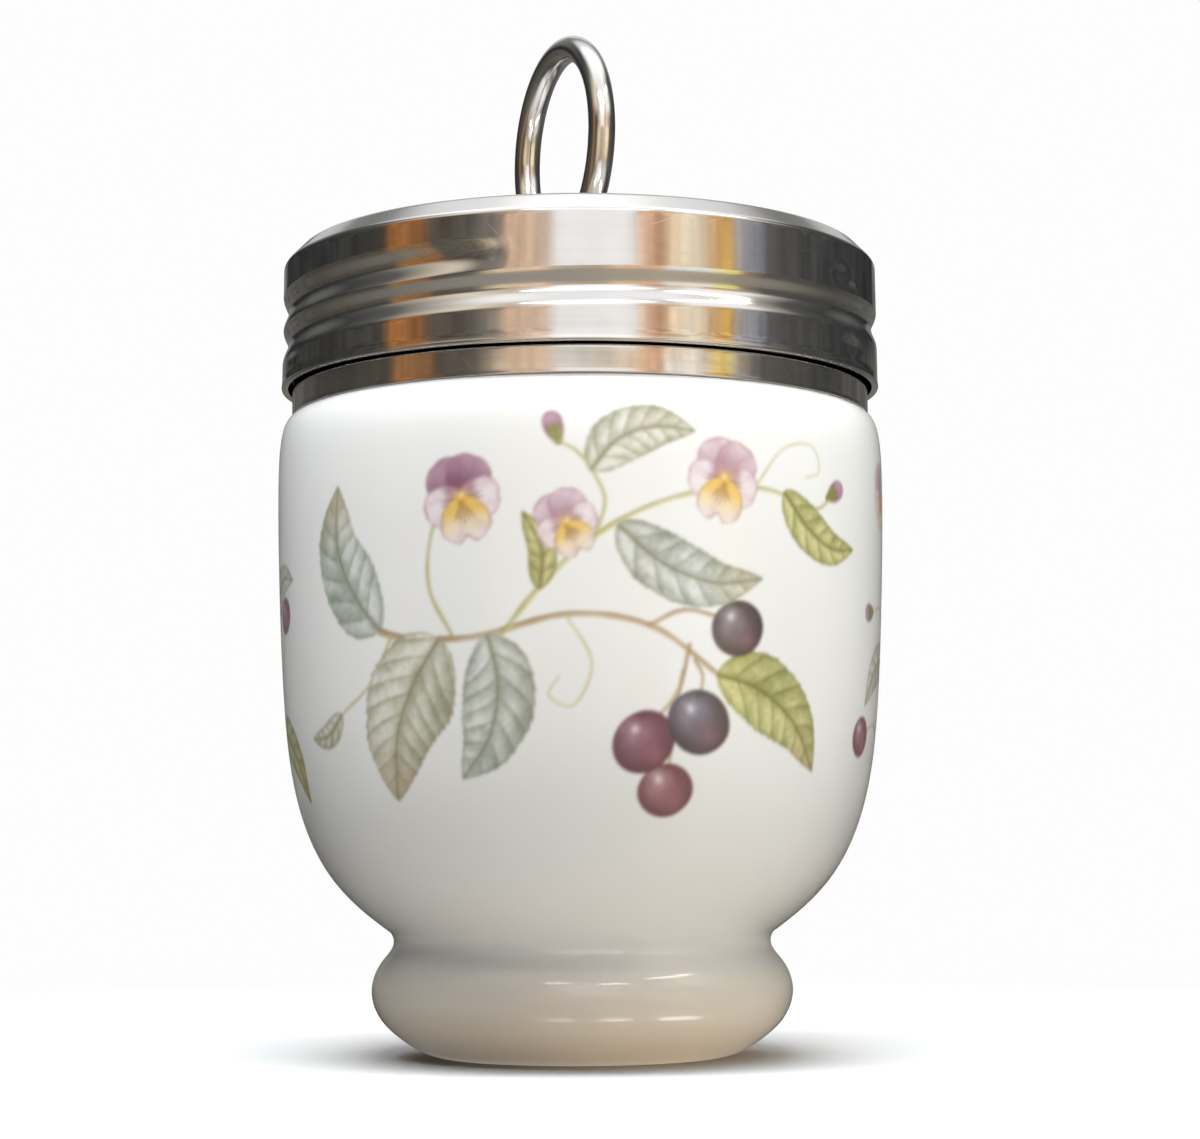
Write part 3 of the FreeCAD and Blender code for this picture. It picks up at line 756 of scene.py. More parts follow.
def spray(sheet, ox, oy, f=1.0, seed=0):
    """The main group, about 58 mm wide; f is 1, or -1 for its mirror image."""
    P = lambda *pts: [(ox + f * px, oy + py) for px, py in pts]
    S, T = (STALK, STALK_DARK), (TWIG, TWIG_DARK)

    # branches
    stem(sheet, P((-27, 24), (-20, 20.5), (-11, 20), (-2, 22), (6, 21), (13, 16.5)), 0.75, 0.5, *T, seed=seed)
    stem(sheet, P((-8, 20.3), (-4, 25), (1, 29.5), (8, 33), (17, 34.5), (25, 33)), 0.6, 0.4, *S, seed=seed + 1)
    stem(sheet, P((-13, 20.1), (-15.5, 25), (-15, 30.5), (-12.5, 34)), 0.45, 0.35, *S, seed=seed + 2)
    stem(sheet, P((1, 29.5), (1.8, 33), (0.2, 36.4)), 0.4, 0.3, *S, seed=seed + 3)
    stem(sheet, P((6, 21), (9.5, 22.5), (13.5, 21.8)), 0.42, 0.34, *T, seed=seed + 4)
    stem(sheet, P((10, 19.2), (9.0, 15.0), (6.8, 12.2)), 0.42, 0.34, *T, seed=seed + 5)
    stem(sheet, P((-20, 20.5), (-23, 16), (-27.5, 13.2)), 0.36, 0.22, *S, seed=seed + 6)
    # tendrils
    stem(sheet, P((17, 34.5), (20.5, 38.5), (24.5, 39.2), (25.6, 36.8), (23.6, 36.0)), 0.26, 0.16, *S, 0.7, seed + 7)
    stem(sheet, P((-2, 22), (0.5, 17.5), (-1.2, 13.5), (-3.6, 14.4), (-2.6, 16.2)), 0.26, 0.16, *S, 0.7, seed + 8)

    # leaves
    brown = rgb(176, 150, 112)
    leaf(sheet, P((-14.5, 20.0), (-17.5, 15.8), (-19.8, 10.8), (-20.6, 4.6)), 4.9, SAGE, seed + 1, 7, (0.55, 0.85), 0.07, brown)
    leaf(sheet, P((-9.5, 20.2), (-8.5, 15.5), (-9.6, 10.4), (-12.6, 6.6)), 3.6, BLUE_SAGE, seed + 2, 6, (0.6, 0.9), 0.06)
    leaf(sheet, P((3.0, 30.5), (7.4, 26.9), (12.6, 25.2), (18.0, 25.8)), 2.9, BLUE_SAGE, seed + 3, 6, (0.6, 0.95), 0.05, brown)
    leaf(sheet, P((0.4, 35.6), (3.0, 38.6), (6.6, 39.9), (10.6, 39.6)), 2.5, SAGE, seed + 4, 6, (0.6, 0.9), 0.06)
    leaf(sheet, P((-21.5, 21.0), (-25.0, 24.8), (-27.4, 29.6), (-27.2, 35.6)), 3.7, BLUE_SAGE, seed + 5, 6, (0.6, 0.9), 0.06, brown)
    leaf(sheet, P((13.0, 16.5), (17.8, 15.2), (22.6, 12.0), (26.0, 7.4)), 3.5, OLIVE, seed + 6, 6, (0.6, 0.95), 0.06, brown)
    leaf(sheet, P((20.6, 34.4), (23.8, 31.2), (27.6, 29.4), (32.0, 29.6)), 2.2, OLIVE, seed + 7, 5, (0.6, 0.95), 0.05)
    leaf(sheet, P((-4.4, 24.4), (-4.2, 28.2), (-6.0, 31.8)), 1.35, OLIVE, seed + 8, 4, (0.6, 0.9))
    leaf(sheet, P((-27.5, 13.2), (-30.2, 11.2), (-33.6, 11.0)), 1.3, SAGE, seed + 9, 4, (0.6, 0.9))

    # fruit
    stem(sheet, P((10.6, 17.8), (11.4, 16.4), (11.3, 14.9)), 0.36, 0.3, *T, seed=seed + 9)
    stem(sheet, P((9.4, 16.8), (8.6, 12.0), (8.2, 7.6)), 0.34, 0.28, *T, seed=seed + 10)
    sloe(sheet, ox + f * 8.0, oy + 5.4, 2.7, RIPE, seed + 4, 1.06, 0.2)
    sloe(sheet, ox + f * 5.6, oy + 10.0, 3.0, WINE, seed + 2, 1.07, 0.6)
    sloe(sheet, ox + f * 11.2, oy + 11.9, 3.15, NIGHT, seed + 3, 1.05, -0.4)
    sloe(sheet, ox + f * 15.2, oy + 20.9, 2.75, NIGHT, seed + 1)

    # flowers and buds
    viola(sheet, ox - f * 12.0, oy + 33.2, 4.3, 0.18 * f, seed + 20)
    viola(sheet, ox + f * 13.6, oy + 35.0, 4.1, -0.22 * f, seed + 40, pale=True)
    viola(sheet, ox - f * 1.8, oy + 30.6, 3.3, 0.45 * f, seed + 60, pale=True)
    bud(sheet, ox - f * 2.6, oy + 38.6, 1.9 if f > 0 else 1.24, 2.2, seed + 3)
    bud(sheet, ox + f * 27.2, oy + 34.4, 0.5 if f > 0 else 2.64, 2.2, seed + 5)
    stem(sheet, P((25, 33), (26.2, 33.4), (27.2, 34.2)), 0.34, 0.3, *S, seed=seed + 11)
    stem(sheet, P((0.2, 36.4), (-1.0, 37.6), (-2.5, 38.4)), 0.32, 0.28, *S, seed=seed + 12)


def sprig(sheet, ox, oy, f=1.0, seed=0):
    """A slim upright sprig that stands between the groups."""
    P = lambda *pts: [(ox + f * px, oy + py) for px, py in pts]
    S = (STALK, STALK_DARK)
    stem(sheet, P((-3, 2), (0.5, 8), (1.2, 16), (-0.6, 24), (-3.0, 30)), 0.5, 0.3, *S, seed=seed)
    stem(sheet, P((1.0, 12), (4.0, 16), (6.2, 21)), 0.34, 0.26, *S, seed=seed + 1)
    stem(sheet, P((0.6, 19), (-3.6, 21), (-6.4, 20.6)), 0.32, 0.24, *S, seed=seed + 2)
    stem(sheet, P((-0.2, 6.8), (-4.4, 9.0), (-8.0, 8.2)), 0.34, 0.26, *S, seed=seed + 3)
    brown = rgb(184, 150, 96)
    leaf(sheet, P((0.8, 10.0), (4.6, 9.4), (8.4, 6.6), (10.2, 2.6)), 2.3, OLIVE, seed + 1, 5, (0.6, 0.9), 0.05, brown)
    leaf(sheet, P((1.0, 15.0), (-2.4, 15.6), (-6.2, 14.0), (-9.0, 10.8)), 2.1, SAGE, seed + 2, 5, (0.6, 0.9), 0.05)
    leaf(sheet, P((0.2, 21.0), (3.0, 24.0), (6.4, 25.6), (10.2, 25.2)), 2.0, BLUE_SAGE, seed + 3, 5, (0.6, 0.9), 0.05)
    sloe(sheet, ox + f * 6.8, oy + 21.8, 1.9, WINE, seed + 1)
    sloe(sheet, ox - f * 9.6, oy + 7.6, 2.1, RIPE, seed + 2)
    bud(sheet, ox - f * 7.4, oy + 20.4, 3.3 if f > 0 else -0.16, 2.0, seed + 3)
    viola(sheet, ox - f * 3.6, oy + 32.6, 3.5, 0.25 * f, seed + 30, pale=(seed % 2 == 0))


def paint_band(height):
    sheet = Sheet(AROUND, height)
    q = AROUND / 4
    spray(sheet, 0.5, 3.0, 1.0, seed=100)
    spray(sheet, 2 * q - 0.5, 2.6, -1.0, seed=200)
    sprig(sheet, q - 3.5, 6.5, 1.0, seed=300)
    sprig(sheet, -q + 2.5, 5.0, 1.0, seed=401)
    # the colours sink a little into the glaze
    c = sheet.c
    k = np.exp(-0.5 * (np.arange(-4, 5) / 1.3) ** 2)
    k /= k.sum()
    soft = sum(w * np.roll(c, s, axis=1) for w, s in zip(k, range(-4, 5)))
    pad = np.pad(soft, ((4, 4), (0, 0), (0, 0)), mode="edge")
    return sum(w * pad[4 + s:4 + s + c.shape[0]] for w, s in zip(k, range(-4, 5)))


def to_linear(c):
    c = c / 255.0
    return np.where(c <= 0.04045, c / 12.92, ((c + 0.055) / 1.055) ** 2.4)


def print_at(ang, s, rows):
    """Colour of the decoration, as a share of the bare glaze's own."""
    canvas = paint_band(float(s[-1]))
    share = to_linear(canvas) / to_linear(WHITE)
    ny, nx = share.shape[:2]
    x = (np.radians(ang) * 31.5 / PX) % nx
    y = np.clip(np.asarray(s) / PX, 0, ny - 1.001)
    i, j = np.floor(x).astype(int), np.floor(y).astype(int)
    fx, fy = (x - i)[None, :, None], (y - j)[:, None, None]
    i0, i1 = i % nx, (i + 1) % nx
    a, b = share[j][:, i0], share[j][:, i1]
    c, d = share[j + 1][:, i0], share[j + 1][:, i1]
    return ((a * (1 - fx) + b * fx) * (1 - fy) + (c * (1 - fx) + d * fx) * fy).astype(np.float32)


# ---------------------------------------------------------------- materials
class Nodes:
    """Short way to build a node tree."""

    def __init__(self, tree):
        self.t = tree
        tree.nodes.clear()

    def new(self, kind, **props):
        n = self.t.nodes.new(kind)
        for k, v in props.items():
            setattr(n, k, v)
        return n

    def link(self, a, b):
        self.t.links.new(a, b)

    def set(self, node, **vals):
        for k, v in vals.items():
            node.inputs[k].default_value = v

    def math(self, op, a, b=None, c=None, clamp=False):
        n = self.new("ShaderNodeMath", operation=op, use_clamp=clamp)
        for i, v in enumerate((a, b, c)):
            if v is None:
                continue
            if isinstance(v, (int, float)):
                n.inputs[i].default_value = v
            else:
                self.link(v, n.inputs[i])
        return n.outputs[0]

    def mix(self, fac, a, b, blend="MIX"):
        n = self.new("ShaderNodeMix", data_type="RGBA", blend_type=blend)
        for sock, v in ((n.inputs[0], fac), (n.inputs[6], a), (n.inputs[7], b)):
            if isinstance(v, (int, float)):
                sock.default_value = v
            elif isinstance(v, (tuple, list)):
                sock.default_value = (*v, 1.0) if len(v) == 3 else v
            else:
                self.link(v, sock)
        return n.outputs[2]

    def noise(self, vec, scale, detail=4.0, rough=0.55, dist=0.0):
        n = self.new("ShaderNodeTexNoise")
        n.inputs["Scale"].default_value = scale
        n.inputs["Detail"].default_value = detail
        n.inputs["Roughness"].default_value = rough
        n.inputs["Distortion"].default_value = dist
        self.link(vec, n.inputs["Vector"])
        return n.outputs["Fac"]

    def span(self, value, a, b, c, d, smooth_it=True):
        """Maps a..b to c..d, held at the ends."""
        n = self.new("ShaderNodeMapRange", interpolation_type="SMOOTHSTEP" if smooth_it else "LINEAR")
        for i, v in enumerate((a, b, c, d)):
            n.inputs[i + 1].default_value = v
        self.link(value, n.inputs[0])
        return n.outputs[0]

    def ramp(self, fac, stops, interp="LINEAR"):
        n = self.new("ShaderNodeValToRGB")
        cr = n.color_ramp
        cr.interpolation = interp
        while len(cr.elements) < len(stops):
            cr.elements.new(0.5)
        for e, (p, c) in zip(cr.elements, stops):
            e.position = p
            e.color = (*c, 1.0) if len(c) == 3 else c
        self.link(fac, n.inputs[0])
        return n.outputs[0]


def material(name):
    m = bpy.data.materials.new(name)
    m.use_nodes = True
    return m, Nodes(m.node_tree)


def object_space(n):
    """Object coordinates, and cylinder coordinates about the Z axis."""
    tc = n.new("ShaderNodeTexCoord")
    sep = n.new("ShaderNodeSeparateXYZ")
    n.link(tc.outputs["Object"], sep.inputs[0])
    x, y, z = sep.outputs
    r = n.math("SQRT", n.math("ADD", n.math("MULTIPLY", x, x), n.math("MULTIPLY", y, y)))
    a = n.math("ARCTAN2", y, x)
    return tc.outputs["Object"], x, y, z, r, a


def vector(n, x, y, z):
    c = n.new("ShaderNodeCombineXYZ")
    for sock, v in zip(c.inputs, (x, y, z)):
        if isinstance(v, (int, float)):
            sock.default_value = v
        else:
            n.link(v, sock)
    return c.outputs[0]


def bump(n, height, distance, strength=1.0, normal=None):
    b = n.new("ShaderNodeBump")
    b.inputs["Strength"].default_value = strength
    b.inputs["Distance"].default_value = distance
    n.link(height, b.inputs["Height"])
    if normal is not None:
        n.link(normal, b.inputs["Normal"])
    return b.outputs[0]


def porcelain_material():
    m, n = material("porcelain_glazed")
    obj, x, y, z, r, a = object_space(n)
    att = n.new("ShaderNodeAttribute", attribute_name="print", attribute_type="GEOMETRY")
    p = n.new("ShaderNodeBsdfPrincipled")
    out = n.new("ShaderNodeOutputMaterial")
    n.link(p.outputs[0], out.inputs[0])
    # glaze: faint clouding, a few pin specks, the bare ring under the foot
    cloud = n.noise(obj, 55.0, 3.0)
    body = n.mix(n.span(cloud, 0.35, 0.7, 0.0, 1.0), (0.868, 0.866, 0.858), (0.850, 0.846, 0.832))
    # painted warm light: below about 9 mm, with a ragged edge, the foot is tinted tan as if a warm lamp lit it under
    # the bowl's shadow
    warm_light_on_foot = n.math("ADD", z, n.math("MULTIPLY", n.math("SUBTRACT", n.noise(obj, 160.0, 2.0), 0.5), 0.0014))
    body = n.mix(n.span(warm_light_on_foot, 0.0082, 0.0104, 1.0, 0.0), body, (0.862, 0.815, 0.745))
    speck = n.new("ShaderNodeTexVoronoi", feature="F1", distance="EUCLIDEAN")
    n.set(speck, Scale=190.0, Randomness=1.0)
    n.link(obj, speck.inputs["Vector"])
    pick = n.new("ShaderNodeSeparateColor")
    n.link(speck.outputs["Color"], pick.inputs[0])
    dot = n.math("MULTIPLY", n.span(speck.outputs["Distance"], 0.0, 0.030, 1.0, 0.0),
                 n.math("GREATER_THAN", pick.outputs[0], 0.955))
    body = n.mix(n.math("MULTIPLY", dot, 0.35), body, (0.40, 0.36, 0.30))
    # colours of the fired decoration, with the grain of the transfer
    grain = n.span(n.noise(obj, 5200.0, 2.0, 0.6), 0.3, 0.7, 0.955, 1.03, False)
    tone = n.mix(1.0, body, att.outputs["Color"], "MULTIPLY")
    grey = n.new("ShaderNodeCombineColor")
    for s in grey.inputs[:3]:
        n.link(grain, s)
    lum = n.new("ShaderNodeRGBToBW")
    n.link(att.outputs["Color"], lum.inputs[0])
    inked = n.span(lum.outputs[0], 0.55, 0.98, 1.0, 0.0, False)
    tone = n.mix(inked, tone, n.mix(1.0, tone, grey.outputs[0], "MULTIPLY"))
    bare = n.math("MULTIPLY", n.span(z, 0.00010, 0.00032, 1.0, 0.0),
                  n.math("MULTIPLY", n.span(r, 0.01245, 0.01265, 0.0, 1.0), n.span(r, 0.0145, 0.0150, 1.0, 0.0)))
    fine = n.noise(obj, 2600.0, 4.0, 0.7)
    bisque = n.mix(fine, (0.74, 0.70, 0.63), (0.83, 0.80, 0.75))
    n.link(n.mix(bare, tone, bisque), p.inputs["Base Color"])
    rough = n.math("ADD", n.span(n.noise(obj, 420.0, 3.0), 0.3, 0.7, 0.30, 0.36, False), n.math("MULTIPLY", bare, 0.5))
    n.link(rough, p.inputs["Roughness"])
    n.link(n.math("SUBTRACT", 1.0, bare), p.inputs["Coat Weight"])
    p.inputs["Coat Roughness"].default_value = 0.045
    p.inputs["Coat IOR"].default_value = 1.5
    p.inputs["IOR"].default_value = 1.45
    # the glaze lies in very slight waves
    wave = n.noise(obj, 95.0, 2.0, 0.45)
    b = bump(n, n.math("MULTIPLY", wave, 1.0), 0.00006, 1.0)
    b = bump(n, n.math("MULTIPLY", n.math("MULTIPLY", fine, bare), 1.0), 0.00004, 0.6, b)
    n.link(b, p.inputs["Normal"])
    n.link(b, p.inputs["Coat Normal"])
    return m


def steel_material(name, tint, rough_lo, rough_hi, turned=True, flat_top=False):
    """Polished stainless sheet: turned lines, hairline scratches, dull patches."""
    m, n = material(name)
    obj, x, y, z, r, a = object_space(n)
    p = n.new("ShaderNodeBsdfPrincipled")
    out = n.new("ShaderNodeOutputMaterial")
    n.link(p.outputs[0], out.inputs[0])
    p.inputs["Metallic"].default_value = 1.0
    # fine lines that run round the axis
    around = vector(n, n.math("MULTIPLY", n.math("COSINE", a), 0.6), n.math("MULTIPLY", n.math("SINE", a), 0.6),
                    n.math("MULTIPLY", n.math("ADD", z, n.math("MULTIPLY", r, 1.0)), 2600.0))
    lines = n.noise(around, 1.0, 4.0, 0.65)
    patch = n.noise(obj, 60.0, 4.0, 0.6, 0.4)
    fine = n.noise(obj, 900.0, 3.0, 0.6)
    colour = n.mix(n.span(patch, 0.3, 0.72, 0.0, 1.0), tint, tuple(c * 0.93 for c in tint))
    colour = n.mix(n.math("MULTIPLY", n.span(lines, 0.35, 0.7, 0.0, 1.0), 0.18), colour, tuple(c * 0.86 for c in tint))
    n.link(colour, p.inputs["Base Color"])
    base = n.math("ADD", n.span(patch, 0.3, 0.75, rough_lo, rough_hi),
                  n.math("MULTIPLY", n.math("SUBTRACT", lines, 0.5), 0.10 if turned else 0.03))
    base = n.math("ADD", base, n.math("MULTIPLY", n.math("SUBTRACT", fine, 0.5), 0.04))
    # hairline scratches in two directions
    scratch = None
    for k, (ang, sc) in enumerate(((0.35, 1.0), (-0.8, 0.8))):
        ca, sa = math.cos(ang), math.sin(ang)
        u = n.math("ADD", n.math("MULTIPLY", a, 0.031 * ca), n.math("MULTIPLY", z, sa))
        v = n.math("SUBTRACT", n.math("MULTIPLY", z, ca), n.math("MULTIPLY", a, 0.031 * sa))
        w = n.noise(vector(n, n.math("MULTIPLY", u, 120.0 * sc), n.math("MULTIPLY", v, 5200.0 * sc), r), 1.0, 1.0, 0.5, 0.15)
        line = n.span(w, 0.735, 0.78, 0.0, 1.0)
        scratch = line if scratch is None else n.math("MAXIMUM", scratch, line)
    base = n.math("ADD", base, n.math("MULTIPLY", scratch, 0.16))
    n.link(n.math("MAXIMUM", base, 0.03), p.inputs["Roughness"])
    b = bump(n, lines, 0.0000012 if turned else 0.0000004, 1.0)
    b = bump(n, n.noise(obj, 130.0, 2.0, 0.5), 0.000012, 1.0, b)
    n.link(b, p.inputs["Normal"])
    return m


def cement_material():
    m, n = material("cement_set")
    obj, x, y, z, r, a = object_space(n)
    p = n.new("ShaderNodeBsdfPrincipled")
    out = n.new("ShaderNodeOutputMaterial")
    n.link(p.outputs[0], out.inputs[0])
    c1 = n.noise(obj, 500.0, 5.0, 0.65)
    c2 = n.noise(obj, 4000.0, 3.0, 0.6)
    colour = n.mix(n.span(c1, 0.3, 0.7, 0.0, 1.0), (0.72, 0.69, 0.62), (0.60, 0.56, 0.48))
    n.link(n.mix(n.math("MULTIPLY", n.span(c2, 0.55, 0.7, 0.0, 1.0), 0.5), colour, (0.45, 0.41, 0.34)), p.inputs["Base Color"])
    n.link(n.span(c2, 0.3, 0.7, 0.78, 0.95), p.inputs["Roughness"])
    n.link(bump(n, c2, 0.00004, 1.0), p.inputs["Normal"])
    return m


def braze_material():
    m, n = material("braze_metal")
    obj, x, y, z, r, a = object_space(n)
    p = n.new("ShaderNodeBsdfPrincipled")
    out = n.new("ShaderNodeOutputMaterial")
    n.link(p.outputs[0], out.inputs[0])
    p.inputs["Metallic"].default_value = 1.0
    c1 = n.noise(obj, 700.0, 4.0, 0.6, 0.6)
    tarnish = n.span(n.noise(obj, 260.0, 3.0, 0.55), 0.42, 0.66, 0.0, 1.0)
    colour = n.mix(tarnish, (0.66, 0.63, 0.56), (0.50, 0.42, 0.31))
    n.link(colour, p.inputs["Base Color"])
    n.link(n.span(c1, 0.3, 0.7, 0.22, 0.42), p.inputs["Roughness"])
    n.link(bump(n, c1, 0.00006, 0.8), p.inputs["Normal"])
    return m


# ---------------------------------------------------------------- pieces
cup = build_cup(print_at)
cup.data.materials.append(porcelain_material())
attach(cup, "cup"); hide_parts("cup")

lid = build_lid()
lid.data.materials.append(steel_material("lid_polished_steel", (0.735, 0.725, 0.712), 0.075, 0.125))
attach(lid, "lid"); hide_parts("lid")

collar = build_collar()
collar.data.materials.append(steel_material("collar_polished_steel", (0.725, 0.712, 0.695), 0.085, 0.14))
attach(collar, "cup"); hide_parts("collar")

ring = build_ring()
ring.data.materials.append(steel_material("wire_polished_steel", (0.760, 0.748, 0.732), 0.10, 0.16, turned=False))
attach(ring, "lid"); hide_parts("lifting_ring")

braze = build_braze()
braze.data.materials.append(braze_material())
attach(braze, "lid"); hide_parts("ring_braze")

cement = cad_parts["collar_cement"]
cement_mat = cement_material()
if cement.data.materials:
    for i in range(len(cement.data.materials)):
        cement.data.materials[i] = cement_mat
else:
    cement.data.materials.append(cement_mat)

# ---------------------------------------------------------------- camera
cam = bpy.data.cameras.new("camera")
cam.sensor_width = 36.0
cam.lens = 82.2
cam.clip_start, cam.clip_end = 0.01, 20.0
cam_ob = bpy.data.objects.new("camera", cam)
bpy.context.scene.collection.objects.link(cam_ob)
yaw, pitch, roll = math.radians(0.4041), math.radians(5.8433), math.radians(-0.2663)
fwd = Vector((math.sin(yaw) * math.cos(pitch), math.cos(yaw) * math.cos(pitch), math.sin(pitch)))
right0 = Vector((math.cos(yaw), -math.sin(yaw), 0.0))
up0 = right0.cross(fwd)
right = right0 * math.cos(roll) + up0 * math.sin(roll)
up = right.cross(fwd)
cam_ob.matrix_world = Matrix((
    (right.x, up.x, -fwd.x, 0.0),
    (right.y, up.y, -fwd.y, -0.287795),
    (right.z, up.z, -fwd.z, 0.021174),
    (0.0, 0.0, 0.0, 1.0)))
bpy.context.scene.camera = cam_ob

# ---------------------------------------------------------------- stage
def lin(c):
    c = c / 255.0
    return c / 12.92 if c <= 0.04045 else ((c + 0.055) / 1.055) ** 2.4


def glow(r, g, b, k=1.35):
    return (lin(r) * k, lin(g) * k, lin(b) * k)


# floor: a pale disc that runs out into the pale backdrop
SEEN, NEAR, MIDDLE, FAR = 0.50, (0.40, 0.35, 0.29), (0.245, 0.240, 0.229), (0.24, 0.235, 0.225)
n_a, radii = 96, [0.0, 0.05, 0.12, 0.25, 0.45, 0.8, 1.3, 2.0]
co = [(0.0, 0.0, 0.0)]
for rr in radii[1:]:
    for j in range(n_a):
        co.append((rr * math.cos(2 * math.pi * j / n_a), rr * math.sin(2 * math.pi * j / n_a), 0.0))
faces = [(0, 1 + j, 1 + (j + 1) % n_a) for j in range(n_a)]
for i in range(len(radii) - 2):
    b0, b1 = 1 + i * n_a, 1 + (i + 1) * n_a
    faces += [(b0 + j, b1 + j, b1 + (j + 1) % n_a, b0 + (j + 1) % n_a) for j in range(n_a)]
fm = bpy.data.meshes.new("floor")
fm.from_pydata(co, [], faces)
floor = bpy.data.objects.new("floor", fm)
bpy.context.scene.collection.objects.link(floor)
m, n = material("floor_pale")
out = n.new("ShaderNodeOutputMaterial")
tc = n.new("ShaderNodeTexCoord")
ln = n.new("ShaderNodeVectorMath", operation="LENGTH")
n.link(tc.outputs["Object"], ln.inputs[0])
sp = n.new("ShaderNodeSeparateXYZ")
n.link(tc.outputs["Object"], sp.inputs[0])
seen = n.new("ShaderNodeBsdfDiffuse")
seen.inputs["Color"].default_value = (SEEN, SEEN, SEEN * 0.995, 1)
# what it gives back to the object is less, warm close by, and less again on the left
felt = n.new("ShaderNodeBsdfDiffuse")
give = n.mix(n.span(ln.outputs["Value"], 0.022, 0.042, 0.0, 1.0), NEAR,
             n.mix(n.span(ln.outputs["Value"], 0.06, 0.16, 0.0, 1.0), MIDDLE, FAR))
left = n.span(sp.outputs[0], -0.045, 0.03, 0.76, 1.07)
dim = n.new("ShaderNodeCombineColor")
for sock in dim.inputs[:3]:
    n.link(left, sock)
n.link(n.mix(1.0, give, dim.outputs[0], "MULTIPLY"), felt.inputs["Color"])
# painted warm light: close round the foot the floor glows warm, more to the right, though no lamp is there, so the
# foot is lit warm from below
warm = n.new("ShaderNodeEmission")
n.link(n.mix(n.span(ln.outputs["Value"], 0.026, 0.052, 0.0, 1.0), (0.22, 0.172, 0.122), (0.0, 0.0, 0.0)), warm.inputs["Color"])
n.link(n.span(sp.outputs[0], -0.018, 0.006, 0.25, 1.30), warm.inputs["Strength"])
both = n.new("ShaderNodeAddShader")
n.link(felt.outputs[0], both.inputs[0])
n.link(warm.outputs[0], both.inputs[1])
# and what polished metal mirrors of it: brightest in front and to the right
bearing = n.math("MULTIPLY_ADD", n.math("DEGREES", n.math("ARCTAN2", sp.outputs[0], n.math("MULTIPLY", sp.outputs[1], -1.0))),
                 1 / 360.0, 0.5)
sheen = n.new("ShaderNodeEmission")
n.link(n.ramp(bearing, [((a + 180.0) / 360.0, c) for a, c in (
    (-180, (0.05, 0.05, 0.05)), (-115, (0.08, 0.08, 0.078)), (-80, (0.20, 0.195, 0.18)), (-40, (0.33, 0.31, 0.275)),
    (-5, (0.42, 0.385, 0.34)), (35, (0.56, 0.48, 0.36)), (62, (0.40, 0.36, 0.29)), (95, (0.22, 0.205, 0.18)),
    (125, (0.08, 0.078, 0.074)), (179.9, (0.05, 0.05, 0.05)))]), sheen.inputs["Color"])
lp = n.new("ShaderNodeLightPath")
mg = n.new("ShaderNodeMixShader")
n.link(lp.outputs["Is Glossy Ray"], mg.inputs[0])
n.link(both.outputs[0], mg.inputs[1])
n.link(sheen.outputs[0], mg.inputs[2])
mx = n.new("ShaderNodeMixShader")
n.link(lp.outputs["Is Camera Ray"], mx.inputs[0])
n.link(mg.outputs[0], mx.inputs[1])
n.link(seen.outputs[0], mx.inputs[2])
clear = n.new("ShaderNodeBsdfTransparent")
side_of = n.new("ShaderNodeNewGeometry")
far = n.new("ShaderNodeMixShader")
from_below = n.math("MULTIPLY", side_of.outputs["Backfacing"], lp.outputs["Is Camera Ray"])
n.link(n.math("MAXIMUM", from_below, n.math("MAXIMUM", n.math("MULTIPLY", n.span(ln.outputs["Value"], 0.05, 0.17, 0.0, 1.0), lp.outputs["Is Camera Ray"]),
              n.math("MULTIPLY", n.span(ln.outputs["Value"], 0.09, 0.40, 0.0, 1.0), lp.outputs["Is Glossy Ray"]))), far.inputs[0])
n.link(mx.outputs[0], far.inputs[1])
n.link(clear.outputs[0], far.inputs[2])
n.link(far.outputs[0], out.inputs[0])
fm.materials.append(m)

# the table's image of the three small lamps, which only the foot mirrors:
# a very low upright strip round the front of it
steps = [math.radians(-22.0 + 1.0 * i) for i in range(75)]
co = [(0.0247 * math.sin(t), -0.0247 * math.cos(t), z) for z in (0.0002, 0.0024) for t in steps]
gm = bpy.data.meshes.new("lamps_in_table")
gm.from_pydata(co, [], [(i, i + 1, i + 1 + len(steps), i + len(steps)) for i in range(len(steps) - 1)])
lamps = bpy.data.objects.new("lamps_in_table", gm)
bpy.context.scene.collection.objects.link(lamps)
m, n = material("lamps_in_table")
out = n.new("ShaderNodeOutputMaterial")
tc = n.new("ShaderNodeTexCoord")
sp = n.new("ShaderNodeSeparateXYZ")
n.link(tc.outputs["Object"], sp.inputs[0])
degs = n.math("DEGREES", n.math("ARCTAN2", sp.outputs[0], n.math("MULTIPLY", sp.outputs[1], -1.0)))
band = n.math("MULTIPLY", n.span(sp.outputs[2], 0.0002, 0.0008, 0.0, 1.0), n.span(sp.outputs[2], 0.0016, 0.0024, 1.0, 0.0))
glint = None
for a0, a1, b0, b1, k in ((-15.0, -9.0, -5.0, -1.0, 3.2), (4.0, 8.0, 13.0, 17.0, 3.8), (22.0, 28.0, 35.0, 44.0, 5.6)):
    one = n.math("MULTIPLY", n.math("MULTIPLY", n.span(degs, a0, a1, 0.0, k), n.span(degs, b0, b1, 1.0, 0.0)), band)
    glint = one if glint is None else n.math("ADD", glint, one)
em = n.new("ShaderNodeEmission")
em.inputs["Color"].default_value = (1.0, 0.95, 0.86, 1)
n.link(glint, em.inputs["Strength"])
through = n.new("ShaderNodeBsdfTransparent")
both = n.new("ShaderNodeAddShader")
n.link(em.outputs[0], both.inputs[0])
n.link(through.outputs[0], both.inputs[1])
n.link(both.outputs[0], out.inputs[0])
gm.materials.append(m)
lamps.visible_camera = lamps.visible_diffuse = lamps.visible_shadow = lamps.visible_transmission = False

